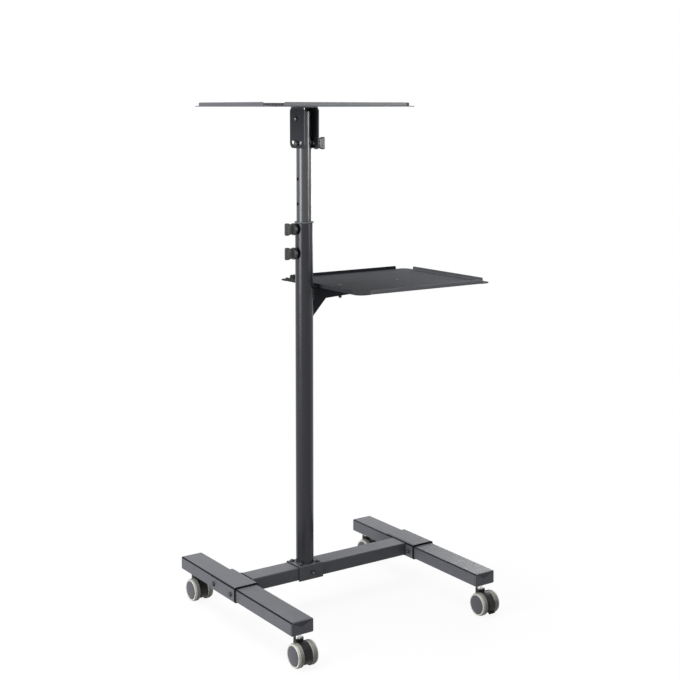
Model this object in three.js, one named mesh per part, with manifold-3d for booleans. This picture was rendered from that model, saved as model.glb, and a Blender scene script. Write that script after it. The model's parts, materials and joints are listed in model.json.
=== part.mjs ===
// A height-adjustable audio visual cart: an H-shaped steel base on twin-wheel casters, a round
// telescopic column, a tilting upper tray and a fixed lower tray. Millimetres, +Z up.
// While the cart is built, X runs along the cross beam, Y along the legs and the column stands on
// X = Y = 0. The last lines move the whole cart so that its origin is the middle of its footprint.
import * as THREE from "three";
import { mergeVertices } from "three/addons/utils/BufferGeometryUtils.js";
import Module from "manifold-3d";

const wasm = await Module();
wasm.setup();

// General fits and facet counts
const fitGap = 0.3; // between pieces that are fixed to each other
const screwGap = 0.2; // round a tray screw
const runGap = 0.1; // between a shaft or a tube and what it turns or slides in
const cutOverrun = 1; // how far a cutting tool runs past the face it cuts
const tubeSides = 40;
const wheelSides = 24; // also of every shaft that turns in a bore
const boltSides = 12;
const hexSides = 6;
const cornerSteps = 3;

// Legs, rectangular tubes along Y
const legWidth = 61;
const legHeight = 33;
const legWall = 2;
const legCornerRadius = 3;
const legReachFront = 316;
const legReachBack = 224;
const leftLegOffset = 213;
const rightLegOffset = 344;

// Plastic caps in the leg ends, each with a shallow sunk pyramid
const capFlange = 3;
const capSpigot = 5;
const capRim = 2.5;
const capPyramidDepth = 2.2;

// Cross beam, and the sleeves at its ends that hold the legs
const beamWidth = 56.5;
const beamHeight = 33.5;
const beamWall = 2;
const beamRise = 2.1; // the beam's middle stands this much over the legs' middle
const sleeveWall = 4.5;
const sleeveFloor = 2.5; // its wall under the leg
const sleeveLength = 122;
const sleeveBoltSpread = 86;

// Foot of the column, a channel turned over the beam
const footLength = 74;
const footWall = 2.6;
const footSkirt = 2.6; // how far its sides hang below the beam
const footBoltSpreadX = 53;
const footBoltSpreadY = 40;
const footStrapThickness = 4;
const footStrapWidth = 16;
const footStrapSideGap = 0.5;
const footSideBoltOffset = 5;
const footSideBoltHeight = 14; // up from the beam's underside

// Column and mast
const columnRadius = 23;
const columnWall = 1.6;
const columnHeight = 889.3;
const columnWeldSize = 2;
const collarOverhang = 2;
const collarHeight = 4.5;
const collarDepth = 9;
const mastRadius = 19.5;
const mastWall = 1.5;
const mastExtension = 286;
const mastLength = 520;
const mastHolePitch = 64;
const mastHoleRadius = 4.5;
const mastHolesAbove = 2;
const mastHolesBelow = 2;

// Lock knobs, the same T-shaped grip as on the tilt clamp
const lockKnobDrop = 14; // upper knob below the column's top
const lockKnobSpacing = 62.5;
const knobBossRadius = 15.5;
const knobBossLength = 9;
const knobNeckRadius = 9;
const knobNeckLength = 2.5;
const knobEdge = 2;
const knobLength = 32.5;
const knobGripHeight = 32;
const knobGripThickness = 9;
const knobGripRadius = 5;
const lockNutRadius = 7;
const lockNutHeight = 1.8;
const lockScrewRadius = 4;

// Trays, folded sheet with round open corners
const trayLength = 433;
const upperTrayDepth = 390;
const lowerTrayDepth = 378;
const traySheet = 2;
const trayLipHeight = 10.5;
const trayCornerRadius = 21.5;
const trayLipInset = 36.5; // from the tray's edge to the end of a lip
const trayLipEndRadius = 3.5;

// Tilt bracket, a channel whose two ears hang beside the mast
const bracketSheet = 2.8;
const earMastGap = 0.5;
const earFront = 36;
const earBack = 30.5;
const earDrop = 74; // pivot to the ears' lower edge
const earCornerRadius = 14;
const earNotchWidth = 4;
const earNotchHeight = 7;
const pivotDrop = 20; // pivot below the mast's top
const trayRise = 11.5; // upper tray's underside over the mast's top
const tiltSlotRadius = 62;
const tiltSlotHalfAngle = 18.8 * THREE.MathUtils.DEG2RAD;
const tiltSlotSteps = 8;
const trayScrewSpread = 44;
const trayScrewTail = 0.8; // how far the screws come through the bracket

// Arm of the lower tray
const lowerTrayDrop = 169.5; // its underside below the column's top
const lowerTrayGap = 16; // between the column and the tray's edge
const armWidth = 20;
const armRootHeight = 30;
const armTipHeight = 14;
const armWall = 2;
const armReach = 330; // its tip, from the column's middle
const gussetSheet = 4;
const gussetLeg = 43;
const armBoltReaches = { first: 112, second: 300 };

// Rubber stop on the lower tray
const stopRadius = 5.2;
const stopHeight = 14;
const stopFromLeft = 26.7;
const stopFromBack = 34;
const stopStemRadius = 1.6;
const stopButtonHeight = 2;

// Bolts
const boltRadius = 4;
const boltHeadRadius = 6.3;
const boltHeadHeight = 4;
const boltSocketRadius = 2.9;
const boltSocketDepth = 2.2;
const screwRadius = 1.75;
const screwNutRadius = 4.75;
const screwNutHeight = 5.5;
const screwTail = 2;
const sunkHeadRadius = 4;
const sideBoltTail = 5; // how far the bolt in the side of the foot comes through the beam
const clampHeadRadius = 8;
const clampHeadHeight = 3.5;
const clampBoltGrip = 14; // how far the clamp bolt reaches into its knob
const clampSpacerLength = 7.5;
const clampSpacerRadius = 7;

// Twin-wheel casters
const wheelRadius = 29.3;
const wheelWidth = 15;
const wheelGap = 23.4; // between the two wheels of a caster
const wheelShoulder = 2; // sidewall ring is this much smaller than the tread
const wheelShoulderWidth = 5;
const wheelRound = 1.5;
const wheelCapRadius = 23.5;
const wheelCapSeat = 2.5; // depth of the recess that holds the cap
const wheelCapEdge = 0.5; // the cap's rim lies this far inside the sidewall
const wheelCapCrown = 1.4; // its middle stands this far out of the sidewall
const axleRadius = 4;
const casterTrail = 17.8; // axle behind the swivel axis, towards the front of the cart
const casterInsets = { front: 14.5, back: 21 }; // swivel axis from the tube's end
const hoodInset = 1.8; // drum of the hood inside the wheels' radius
const hoodFloorGap = 10.5; // the drum is flat underneath, this high over the floor
const hoodSideGap = 0.5;
const cupRadius = 12.3;
const cupLift = 1; // cup's underside over the wheels
const cupHeight = 3.4;
const cupGap = 13.2; // between the cup and the leg
const stemRadius = 5;
const stemRingRadius = 9.5;
const stemRingHeight = 2.6;
const stemRingDepth = 1.2; // how far the ring sits in the cup
const stemCollarRadius = 6.5;
const stemNutRadius = 8.5;
const stemNutHeight = 6;
const stemLockNutHeight = 3.5;
const stemTail = 3;
const stemDepth = 18; // stem inside the hood, below the ring

// Brake pedals of the casters on the right leg
const pedalBarrelRadius = 3.5;
const pedalBarrelInset = 2; // barrel's middle inside the drum's surface
const pedalTopAngle = 25 * THREE.MathUtils.DEG2RAD;
const pedalLowAngle = -35 * THREE.MathUtils.DEG2RAD;
const pedalGap = 1.2;
const pedalThickness = 2.4;
const pedalLip = 4.5;
const pedalLipThickness = 3;
const pedalCheek = 1.4;
const pedalSideGap = 0.3;
const pedalSteps = 8;

// Places worked out from the sizes above
const axleHeight = wheelRadius * Math.cos(Math.PI / wheelSides); // the wheels stand on a facet
const cupBottom = axleHeight + wheelRadius + cupLift;
const cupTop = cupBottom + cupHeight;
const legBottom = cupTop + cupGap;
const legMiddle = legBottom + legHeight / 2;
const beamBottom = legMiddle + beamRise - beamHeight / 2;
const beamTop = beamBottom + beamHeight;
const footTop = beamTop + fitGap + footWall;
const columnBottom = footTop + fitGap;
const columnTop = columnBottom + columnHeight;
const mastTop = columnTop + mastExtension;
const upperKnobHeight = columnTop - lockKnobDrop;
const lowerKnobHeight = upperKnobHeight - lockKnobSpacing;
const pivotHeight = mastTop - pivotDrop;
const clampHeight = pivotHeight - tiltSlotRadius;
const upperTrayBottom = mastTop + trayRise;
const lowerTrayBottom = columnTop - lowerTrayDrop;
const lowerTrayMiddle = columnRadius + lowerTrayGap + trayLength / 2;
const earInside = mastRadius + earMastGap;
const earOutside = earInside + bracketSheet;
const knobSeat = columnRadius + lockNutHeight + fitGap;

const steel = { color: 0x5b5e63, roughness: 0.6, metalness: 0.35 };
const plastic = { color: 0x2c2d2f, roughness: 0.55, metalness: 0 };
const capPlastic = { color: 0x46474c, roughness: 0.5, metalness: 0 };
const zinc = { color: 0xb9bcc0, roughness: 0.35, metalness: 0.9 };
const blackBolt = { color: 0x1f2022, roughness: 0.45, metalness: 0.6 };
const tyreRubber = { color: 0xa9aa9e, roughness: 0.7, metalness: 0 };

// A closed three.js geometry as a solid that can be joined and cut.
function solid(geometry) {
  const bare = geometry.clone();
  bare.deleteAttribute("normal");
  bare.deleteAttribute("uv");
  const merged = mergeVertices(bare);
  const position = merged.getAttribute("position");
  const triangles = new Uint32Array(merged.index.array);
  const corners = [new THREE.Vector3(), new THREE.Vector3(), new THREE.Vector3()];
  let volume = 0;
  for (let i = 0; i < triangles.length; i += 3) {
    corners.forEach((corner, k) => corner.fromBufferAttribute(position, triangles[i + k]));
    volume += corners[0].dot(corners[1].cross(corners[2]));
  }
  if (volume < 0) triangles.reverse();
  const mesh = new wasm.Mesh({
    numProp: 3,
    vertProperties: new Float32Array(position.array),
    triVerts: triangles,
  });
  return new wasm.Manifold(mesh);
}

// A finished solid as a named mesh.
function piece(name, shape, look) {
  const made = shape.getMesh();
  const geometry = new THREE.BufferGeometry();
  const position = new THREE.BufferAttribute(new Float32Array(made.vertProperties), 3);
  geometry.setAttribute("position", position);
  geometry.setIndex(new THREE.BufferAttribute(new Uint32Array(made.triVerts), 1));
  geometry.computeVertexNormals();
  const material = new THREE.MeshStandardMaterial({ ...look, flatShading: true });
  const mesh = new THREE.Mesh(geometry, material);
  mesh.name = name;
  return mesh;
}

function join(first, ...others) {
  return others.reduce((whole, next) => whole.add(next), first);
}

function cut(first, ...tools) {
  return tools.reduce((whole, tool) => whole.subtract(tool), first);
}

// Two places along an axis, the lower one first.
function inOrder(a, b) {
  return [Math.min(a, b), Math.max(a, b)];
}

// A block between two corners.
function block(low, high) {
  const size = high.map((value, i) => value - low[i]);
  const middle = high.map((value, i) => (value + low[i]) / 2);
  return solid(new THREE.BoxGeometry(...size).translate(...middle));
}

// Turns a geometry made along Z so that it lies along X or Y.
function lay(geometry, axis) {
  if (axis === "x") geometry.rotateZ(Math.PI / 2).rotateY(Math.PI / 2);
  if (axis === "y") geometry.rotateX(-Math.PI / 2);
  return geometry;
}

// A round bar along an axis, from one coordinate to another, through a point of the other two.
function bar(axis, from, to, radius, at, sides = boltSides) {
  const geometry = new THREE.CylinderGeometry(radius, radius, to - from, sides);
  geometry.rotateX(Math.PI / 2);
  lay(geometry, axis);
  const along = (from + to) / 2;
  if (axis === "x") geometry.translate(along, at[0], at[1]);
  if (axis === "y") geometry.translate(at[0], along, at[1]);
  if (axis === "z") geometry.translate(at[0], at[1], along);
  return solid(geometry);
}

// A turned piece about an axis: its outline lists [radius, place along the axis].
function turned(axis, outline, sides, at = [0, 0]) {
  const points = outline.map(([radius, along]) => new THREE.Vector2(radius, along));
  const geometry = new THREE.LatheGeometry(points, sides);
  geometry.rotateX(Math.PI / 2);
  lay(geometry, axis);
  if (axis === "x") geometry.translate(0, at[0], at[1]);
  if (axis === "y") geometry.translate(at[0], 0, at[1]);
  if (axis === "z") geometry.translate(at[0], at[1], 0);
  return solid(geometry);
}

// A rectangle with round corners, centred on its own middle.
function roundRectangle(width, height, radius) {
  const x = width / 2 - radius;
  const y = height / 2 - radius;
  const shape = new THREE.Shape();
  shape.absarc(x, y, radius, 0, Math.PI / 2);
  shape.absarc(-x, y, radius, Math.PI / 2, Math.PI);
  shape.absarc(-x, -y, radius, Math.PI, 1.5 * Math.PI);
  shape.absarc(x, -y, radius, 1.5 * Math.PI, 2 * Math.PI);
  shape.closePath();
  return shape;
}

// A flat shape pushed along Z from one height to another.
function pushed(shape, from, to, steps = cornerSteps) {
  const options = { depth: to - from, bevelEnabled: false, curveSegments: steps };
  return new THREE.ExtrudeGeometry(shape, options).translate(0, 0, from);
}

// A rectangular bar along Y or X. Its width lies across, its height along Z.
function rectangularBar(axis, from, to, width, height, radius, middle) {
  const geometry = pushed(roundRectangle(width, height, radius), from, to);
  if (axis === "y") geometry.rotateX(Math.PI / 2).scale(1, -1, 1);
  if (axis === "x") geometry.rotateX(Math.PI / 2).rotateZ(Math.PI / 2);
  const across = axis === "y" ? [middle[0], 0, middle[1]] : [0, middle[0], middle[1]];
  return solid(geometry.translate(...across));
}

function rectangularTube(axis, from, to, width, height, wall, radius, middle) {
  const inside = [width - 2 * wall, height - 2 * wall, Math.max(radius - wall, wall / 2)];
  return cut(
    rectangularBar(axis, from, to, width, height, radius, middle),
    rectangularBar(axis, from - cutOverrun, to + cutOverrun, ...inside, middle),
  );
}

// A flat shape drawn in Y and Z, pushed along X.
function plateAlongX(shape, from, to, steps) {
  const geometry = pushed(shape, from, to, steps);
  const drawn = new THREE.Matrix4().makeBasis(
    new THREE.Vector3(0, 1, 0),
    new THREE.Vector3(0, 0, 1),
    new THREE.Vector3(1, 0, 0),
  );
  return solid(geometry.applyMatrix4(drawn));
}

// A flat shape drawn in X and Z, pushed along Y.
function plateAlongY(shape, from, to, steps) {
  const geometry = pushed(shape, -to, -from, steps);
  return solid(geometry.rotateX(Math.PI / 2));
}

// A bolt with a round socket head, its head's underside at one end and its tip at the other.
function socketBolt(axis, seat, tip, radius, at, head = {}) {
  const { headRadius = boltHeadRadius, headHeight = boltHeadHeight, sides = boltSides } = head;
  const outward = Math.sign(seat - tip);
  const headEnd = seat + outward * headHeight;
  const shank = bar(axis, ...inOrder(tip, seat + (outward * headHeight) / 2), radius, at, sides);
  const cap = bar(axis, ...inOrder(seat, headEnd), headRadius, at);
  const socketEnds = inOrder(headEnd - outward * boltSocketDepth, headEnd + outward * cutOverrun);
  const socket = bar(axis, ...socketEnds, boltSocketRadius, at, hexSides);
  return cut(join(shank, cap), socket);
}

// The leg tube at an offset in X, with holes for its sleeve bolts and its caster stems.
function leg(offset) {
  const ends = [-legReachFront, legReachBack];
  const section = [legWidth, legHeight, legWall, legCornerRadius];
  const tube = rectangularTube("y", ...ends, ...section, [offset, legMiddle]);
  const side = legWidth / 2 + cutOverrun;
  const boltHoles = [-1, 1].map((way) =>
    bar("x", offset - side, offset + side, boltRadius + fitGap, sleeveBoltPlace(way)),
  );
  const underside = [legBottom - cutOverrun, legBottom + legWall + cutOverrun];
  const stemHoles = stemPlaces(offset).map((at) =>
    bar("z", ...underside, stemRadius + fitGap, at, wheelSides),
  );
  return cut(tube, ...boltHoles, ...stemHoles);
}

function sleeveBoltPlace(way) {
  return [(way * sleeveBoltSpread) / 2, legMiddle];
}

function stemPlaces(offset) {
  return [
    [offset, -legReachFront + casterInsets.front],
    [offset, legReachBack - casterInsets.back],
  ];
}

// A plug for a leg's end. Its face looks along the Y direction that is given.
function legCap(offset, end, direction) {
  const face = end + direction * (fitGap + capFlange);
  const plate = pushed(roundRectangle(legWidth, legHeight, legCornerRadius), 0, capFlange);
  const inside = 2 * (legWall + fitGap);
  const spigot = pushed(
    roundRectangle(legWidth - inside, legHeight - inside, legCornerRadius),
    -capSpigot - fitGap,
    cutOverrun,
  );
  const hollow = { width: legWidth - 2 * capRim, height: legHeight - 2 * capRim };
  const pyramid = new THREE.ConeGeometry(Math.SQRT1_2, capPyramidDepth + cutOverrun, 4, 1);
  const growth = (capPyramidDepth + cutOverrun) / capPyramidDepth;
  pyramid.rotateY(Math.PI / 4).rotateX(-Math.PI / 2);
  pyramid.scale(hollow.width * growth, hollow.height * growth, 1);
  pyramid.translate(0, 0, capFlange + cutOverrun - (capPyramidDepth + cutOverrun) / 2);
  const stand = (geometry) => {
    geometry.rotateX(Math.PI / 2);
    if (direction > 0) geometry.rotateZ(Math.PI);
    return solid(geometry.translate(offset, face - direction * capFlange, legMiddle));
  };
  return cut(join(stand(plate), stand(spigot)), stand(pyramid));
}

function beamEnds() {
  const sleeveHalf = legWidth / 2 + fitGap + sleeveWall;
  return {
    left: -leftLegOffset + sleeveHalf + fitGap,
    right: rightLegOffset - sleeveHalf - fitGap,
  };
}

function crossBeam() {
  const ends = beamEnds();
  const middle = beamBottom + beamHeight / 2;
  const section = [beamWidth, beamHeight, beamWall, legCornerRadius];
  const tube = rectangularTube("x", ends.left, ends.right, ...section, [0, middle]);
  const topHoles = footBoltPlaces().map((at) =>
    bar("z", beamTop - beamWall - cutOverrun, beamTop + cutOverrun, boltRadius + fitGap, at),
  );
  const sideHole = bar(
    "y",
    -beamWidth / 2 - cutOverrun,
    -beamWidth / 2 + beamWall + cutOverrun,
    boltRadius + fitGap,
    footSideBoltPlace(),
  );
  return cut(tube, ...topHoles, sideHole);
}

function footBoltPlaces() {
  return [-1, 1].flatMap((x) =>
    [-1, 1].map((y) => [(x * footBoltSpreadX) / 2, (y * footBoltSpreadY) / 2]),
  );
}

function footSideBoltPlace() {
  return [footSideBoltOffset, beamBottom + footSideBoltHeight];
}

// A closed sleeve round a leg, bolted through. Its wall under the leg is thinner than the others.
function sleeve(offset) {
  const half = sleeveLength / 2;
  const over = half + cutOverrun;
  const inside = [legWidth + 2 * fitGap, legHeight + 2 * fitGap, legCornerRadius];
  const outside = [inside[0] + 2 * sleeveWall, inside[1] + sleeveWall + sleeveFloor];
  const radius = legCornerRadius + sleeveWall;
  const middle = [offset, legMiddle + (sleeveWall - sleeveFloor) / 2];
  const tube = cut(
    rectangularBar("y", -half, half, ...outside, radius, middle),
    rectangularBar("y", -over, over, ...inside, [offset, legMiddle]),
  );
  const side = outside[0] / 2 + cutOverrun;
  const holes = [-1, 1].map((way) =>
    bar("x", offset - side, offset + side, boltRadius + fitGap, sleeveBoltPlace(way)),
  );
  return cut(tube, ...holes);
}

// A bolt through a sleeve and its leg, its head on the left and its nut on the right.
function sleeveBolt(offset, way) {
  const face = legWidth / 2 + fitGap + sleeveWall + fitGap;
  const at = sleeveBoltPlace(way);
  const bolt = socketBolt("x", offset - face, offset + face + boltHeadHeight, boltRadius, at);
  const nut = bar("x", offset + face, offset + face + boltHeadHeight, boltHeadRadius, at, hexSides);
  return join(bolt, nut);
}

// The channel over the beam that carries the column.
function footSaddle() {
  const half = beamWidth / 2 + fitGap;
  const outside = half + footWall;
  const low = beamBottom - footSkirt;
  const end = footLength / 2;
  const over = end + cutOverrun;
  const channel = cut(
    block([-end, -outside, low], [end, outside, footTop]),
    block([-over, -half, low - cutOverrun], [over, half, beamTop + fitGap]),
  );
  const topHoles = footBoltPlaces().map((at) =>
    bar("z", beamTop, footTop + cutOverrun, boltRadius + fitGap, at),
  );
  const side = [-outside - cutOverrun, -half + cutOverrun];
  const sideHole = bar("y", ...side, boltRadius + fitGap, footSideBoltPlace());
  return cut(channel, ...topHoles, sideHole);
}

// Two foot bolts on the strap inside the beam that they screw into.
function footBoltPair(side) {
  const x = (side * footBoltSpreadX) / 2;
  const strapTop = beamTop - beamWall - fitGap;
  const strapLow = strapTop - footStrapThickness;
  const strapHalf = beamWidth / 2 - beamWall - footStrapSideGap;
  const strap = block(
    [x - footStrapWidth / 2, -strapHalf, strapLow],
    [x + footStrapWidth / 2, strapHalf, strapTop],
  );
  const bolts = [-1, 1].map((way) => {
    const at = [x, (way * footBoltSpreadY) / 2];
    return socketBolt("z", footTop + fitGap, strapLow, boltRadius, at);
  });
  return join(strap, ...bolts);
}

function footSideBolt() {
  const face = -beamWidth / 2 - fitGap - footWall - fitGap;
  const tip = -beamWidth / 2 + beamWall + sideBoltTail;
  return socketBolt("y", face, tip, boltRadius, footSideBoltPlace());
}

// The outer tube, with its weld at the foot and the two nuts that the lock knobs screw into.
function outerColumn() {
  const inside = columnRadius - columnWall;
  const tube = turned(
    "z",
    [
      [inside, columnBottom],
      [columnRadius + columnWeldSize, columnBottom],
      [columnRadius, columnBottom + columnWeldSize],
      [columnRadius, columnTop],
      [inside, columnTop],
      [inside, columnBottom],
    ],
    tubeSides,
  );
  const nutFace = -columnRadius - lockNutHeight;
  const nuts = knobHeights().map((z) =>
    bar("x", nutFace, -inside - columnWall / 2, lockNutRadius, [0, z], tubeSides / 2),
  );
  const boreEnds = [nutFace - cutOverrun, -inside + cutOverrun];
  const bores = knobHeights().map((z) =>
    bar("x", ...boreEnds, lockScrewRadius + runGap, [0, z], wheelSides),
  );
  return cut(join(tube, ...nuts), ...bores);
}

function knobHeights() {
  return [upperKnobHeight, lowerKnobHeight];
}

// The plastic bush in the mouth of the column, with a flange on its top.
function collarBush() {
  const bore = mastRadius + runGap;
  const outside = columnRadius - columnWall - fitGap;
  const seat = columnTop + fitGap;
  const rim = columnRadius + collarOverhang;
  return turned(
    "z",
    [
      [bore, columnTop - collarDepth],
      [outside, columnTop - collarDepth],
      [outside, seat],
      [rim - collarOverhang / 2, seat],
      [rim, seat + collarOverhang / 2],
      [rim, seat + collarHeight],
      [bore, seat + collarHeight],
      [bore, columnTop - collarDepth],
    ],
    tubeSides,
  );
}

// The T-shaped grip: its seat at X = 0, its axis along +X.
function knobGrip() {
  const bossEnd = knobNeckLength + knobBossLength;
  const boss = turned(
    "x",
    [
      [0, 0],
      [knobNeckRadius, 0],
      [knobBossRadius - knobEdge, knobNeckLength],
      [knobBossRadius, knobNeckLength + knobEdge],
      [knobBossRadius, bossEnd - knobEdge],
      [knobBossRadius - knobEdge, bossEnd],
      [0, bossEnd],
    ],
    wheelSides,
  );
  const start = bossEnd - knobEdge;
  const outline = roundRectangle(knobLength - start, knobGripHeight, knobGripRadius);
  const gripMiddle = (knobLength + start) / 2;
  const grip = plateAlongY(outline, -knobGripThickness / 2, knobGripThickness / 2);
  return join(boss, grip.translate([gripMiddle, 0, 0]));
}

// A lock knob with its screw, which ends at the mast's surface.
function lockKnob(height) {
  const grip = knobGrip().rotate([0, 0, 180]).translate([-knobSeat, 0, height]);
  const ends = [-knobSeat - knobNeckLength, -mastRadius - fitGap];
  const screw = bar("x", ...ends, lockScrewRadius, [0, height], wheelSides);
  return join(grip, screw);
}

// The inner tube, with its row of height holes and the holes for its two cross bolts.
function mastTube() {
  const tube = turned(
    "z",
    [
      [mastRadius - mastWall, mastTop - mastLength],
      [mastRadius, mastTop - mastLength],
      [mastRadius, mastTop],
      [mastRadius - mastWall, mastTop],
      [mastRadius - mastWall, mastTop - mastLength],
    ],
    tubeSides,
  );
  const holes = [];
  for (let k = -mastHolesBelow; k <= mastHolesAbove; k++) {
    const z = upperKnobHeight + k * mastHolePitch;
    holes.push(bar("x", -mastRadius - cutOverrun, -mastRadius / 2, mastHoleRadius, [0, z]));
  }
  const across = mastRadius + cutOverrun;
  for (const z of [pivotHeight, clampHeight]) {
    holes.push(bar("x", -across, across, boltRadius + runGap, [0, z], wheelSides));
  }
  return cut(tube, ...holes);
}

// The bolt that the upper tray tilts on, head on the left and nut on the right.
function pivotBolt() {
  const face = earOutside + fitGap;
  const at = [0, pivotHeight];
  const bolt = socketBolt("x", -face, face + boltHeadHeight, boltRadius, at, { sides: wheelSides });
  return join(bolt, bar("x", face, face + boltHeadHeight, boltHeadRadius, at, hexSides));
}

// The bolt through the ears' slots that the clamp knob draws tight.
function clampBolt() {
  const face = earOutside + fitGap;
  const tip = face + clampSpacerLength + clampBoltGrip;
  const head = { headRadius: clampHeadRadius, headHeight: clampHeadHeight, sides: wheelSides };
  return socketBolt("x", -face, tip, boltRadius, [0, clampHeight], head);
}

function clampKnob() {
  const seat = earOutside + fitGap;
  const gripSeat = seat + clampSpacerLength;
  const at = [0, clampHeight];
  const grip = knobGrip().translate([gripSeat, ...at]);
  const spacer = bar("x", seat, gripSeat + knobNeckLength, clampSpacerRadius, at);
  const boreEnd = gripSeat + clampBoltGrip + fitGap;
  const bore = bar("x", seat - cutOverrun, boreEnd, boltRadius + runGap, at, wheelSides);
  return cut(join(grip, spacer), bore);
}

// One ear's outline in Y and Z, its notched corners at the fold and its lower corners round.
function earOutline() {
  const top = upperTrayBottom - fitGap;
  const low = pivotHeight - earDrop;
  const r = earCornerRadius;
  const shape = new THREE.Shape();
  shape.moveTo(-earFront + earNotchWidth, top);
  shape.lineTo(-earFront + earNotchWidth, top - earNotchHeight);
  shape.lineTo(-earFront, top - earNotchHeight);
  shape.lineTo(-earFront, low + r);
  shape.absarc(-earFront + r, low + r, r, Math.PI, 1.5 * Math.PI);
  shape.lineTo(earBack - r, low);
  shape.absarc(earBack - r, low + r, r, 1.5 * Math.PI, 2 * Math.PI);
  shape.lineTo(earBack, top - earNotchHeight);
  shape.lineTo(earBack - earNotchWidth, top - earNotchHeight);
  shape.lineTo(earBack - earNotchWidth, top);
  shape.closePath();
  return shape;
}

// The curved slot round the pivot that the clamp bolt runs in.
function tiltSlot() {
  const half = boltRadius + 2 * fitGap;
  const middle = -Math.PI / 2;
  const low = middle - tiltSlotHalfAngle;
  const high = middle + tiltSlotHalfAngle;
  const place = (angle) => [
    tiltSlotRadius * Math.cos(angle),
    pivotHeight + tiltSlotRadius * Math.sin(angle),
  ];
  const shape = new THREE.Shape();
  shape.absarc(0, pivotHeight, tiltSlotRadius + half, low, high);
  shape.absarc(...place(high), half, high, high + Math.PI);
  shape.absarc(0, pivotHeight, tiltSlotRadius - half, high, low, true);
  shape.absarc(...place(low), half, low + Math.PI, low + 2 * Math.PI);
  return shape;
}

function tiltBracket() {
  const top = upperTrayBottom - fitGap;
  const outline = earOutline();
  const across = earOutside + cutOverrun;
  const ears = [-earOutside, earInside].map((x) => plateAlongX(outline, x, x + bracketSheet));
  const web = block(
    [-earOutside, -earFront + earNotchWidth, top - bracketSheet],
    [earOutside, earBack - earNotchWidth, top],
  );
  const slot = plateAlongX(tiltSlot(), -across, across, tiltSlotSteps);
  const pivotHole = bar("x", -across, across, boltRadius + runGap, [0, pivotHeight], wheelSides);
  const webEnds = [top - bracketSheet - cutOverrun, top + cutOverrun];
  const screwHoles = [-1, 1].map((way) =>
    bar("z", ...webEnds, screwRadius + screwGap, trayScrewPlace(way)),
  );
  return cut(join(web, ...ears), slot, pivotHole, ...screwHoles);
}

function trayScrewPlace(way) {
  return [0, (way * trayScrewSpread) / 2 - (earFront - earBack) / 2];
}

// The outline of the lip on a side of a given length, its upper corners round.
function trayLip(side) {
  const half = side / 2 - trayLipInset;
  const r = trayLipEndRadius;
  const shape = new THREE.Shape();
  shape.moveTo(-half, 0);
  shape.lineTo(half, 0);
  shape.lineTo(half, trayLipHeight - r);
  shape.absarc(half - r, trayLipHeight - r, r, 0, Math.PI / 2);
  shape.lineTo(-half + r, trayLipHeight);
  shape.absarc(-half + r, trayLipHeight - r, r, Math.PI / 2, Math.PI);
  shape.closePath();
  return shape;
}

// A folded tray on its own middle, its underside at Z = 0, with sunk holes at the given places.
function tray(depth, sunkHoles, plainHoles = []) {
  const outline = roundRectangle(trayLength, depth, trayCornerRadius);
  const plate = solid(pushed(outline, 0, traySheet, 2 * cornerSteps));
  const lipEnds = (way, half) => inOrder(way * half, way * (half - traySheet));
  const lips = [-1, 1].flatMap((way) => [
    plateAlongX(trayLip(depth), ...lipEnds(way, trayLength / 2)),
    plateAlongY(trayLip(trayLength), ...lipEnds(way, depth / 2)),
  ]);
  const sunk = sunkHoles.map(([x, y]) =>
    sunkShape(-cutOverrun, traySheet, screwGap).translate([x, y, 0]),
  );
  const plain = plainHoles.map(({ at, radius }) =>
    bar("z", -cutOverrun, traySheet + cutOverrun, radius, at),
  );
  return cut(join(plate, ...lips), ...sunk, ...plain);
}

// A countersunk head and the shank under it, grown by a gap where it cuts a hole.
function sunkShape(tip, top, gap) {
  const over = gap > 0 ? cutOverrun : 0;
  return turned(
    "z",
    [
      [0, tip],
      [screwRadius + gap, tip],
      [screwRadius + gap, top - traySheet],
      [sunkHeadRadius + gap, top],
      [sunkHeadRadius + gap, top + over],
      [0, top + over],
    ],
    boltSides,
  );
}

// A countersunk tray screw whose nut closes against the given underside.
function traySeatedScrew(at, top, underside) {
  const nutLow = underside - fitGap - screwNutHeight;
  const screw = sunkShape(nutLow - screwTail, top, 0).translate([at[0], at[1], 0]);
  return join(screw, bar("z", nutLow, nutLow + screwNutHeight, screwNutRadius, at, hexSides));
}

// A short countersunk screw into the web of the tilt bracket, clear of the mast as the tray tilts.
function upperTrayScrew(way) {
  const underside = upperTrayBottom - fitGap - bracketSheet;
  const at = trayScrewPlace(way);
  const screw = sunkShape(underside - trayScrewTail, upperTrayBottom + traySheet, 0);
  return screw.translate([at[0], at[1], 0]);
}

// The arm's underside at a distance from the column's middle.
function armUnderside(x) {
  const along = (x - columnRadius) / (armReach - columnRadius);
  return lowerTrayBottom - fitGap - THREE.MathUtils.lerp(armRootHeight, armTipHeight, along);
}

// The arm's side view between two places, drawn in by a wall above and below.
function armOutline(from, to, wall) {
  const top = lowerTrayBottom - fitGap - wall;
  const shape = new THREE.Shape();
  shape.moveTo(from, top);
  shape.lineTo(from, armUnderside(from) + wall);
  shape.lineTo(to, armUnderside(to) + wall);
  shape.lineTo(to, top);
  shape.closePath();
  return shape;
}

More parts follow.
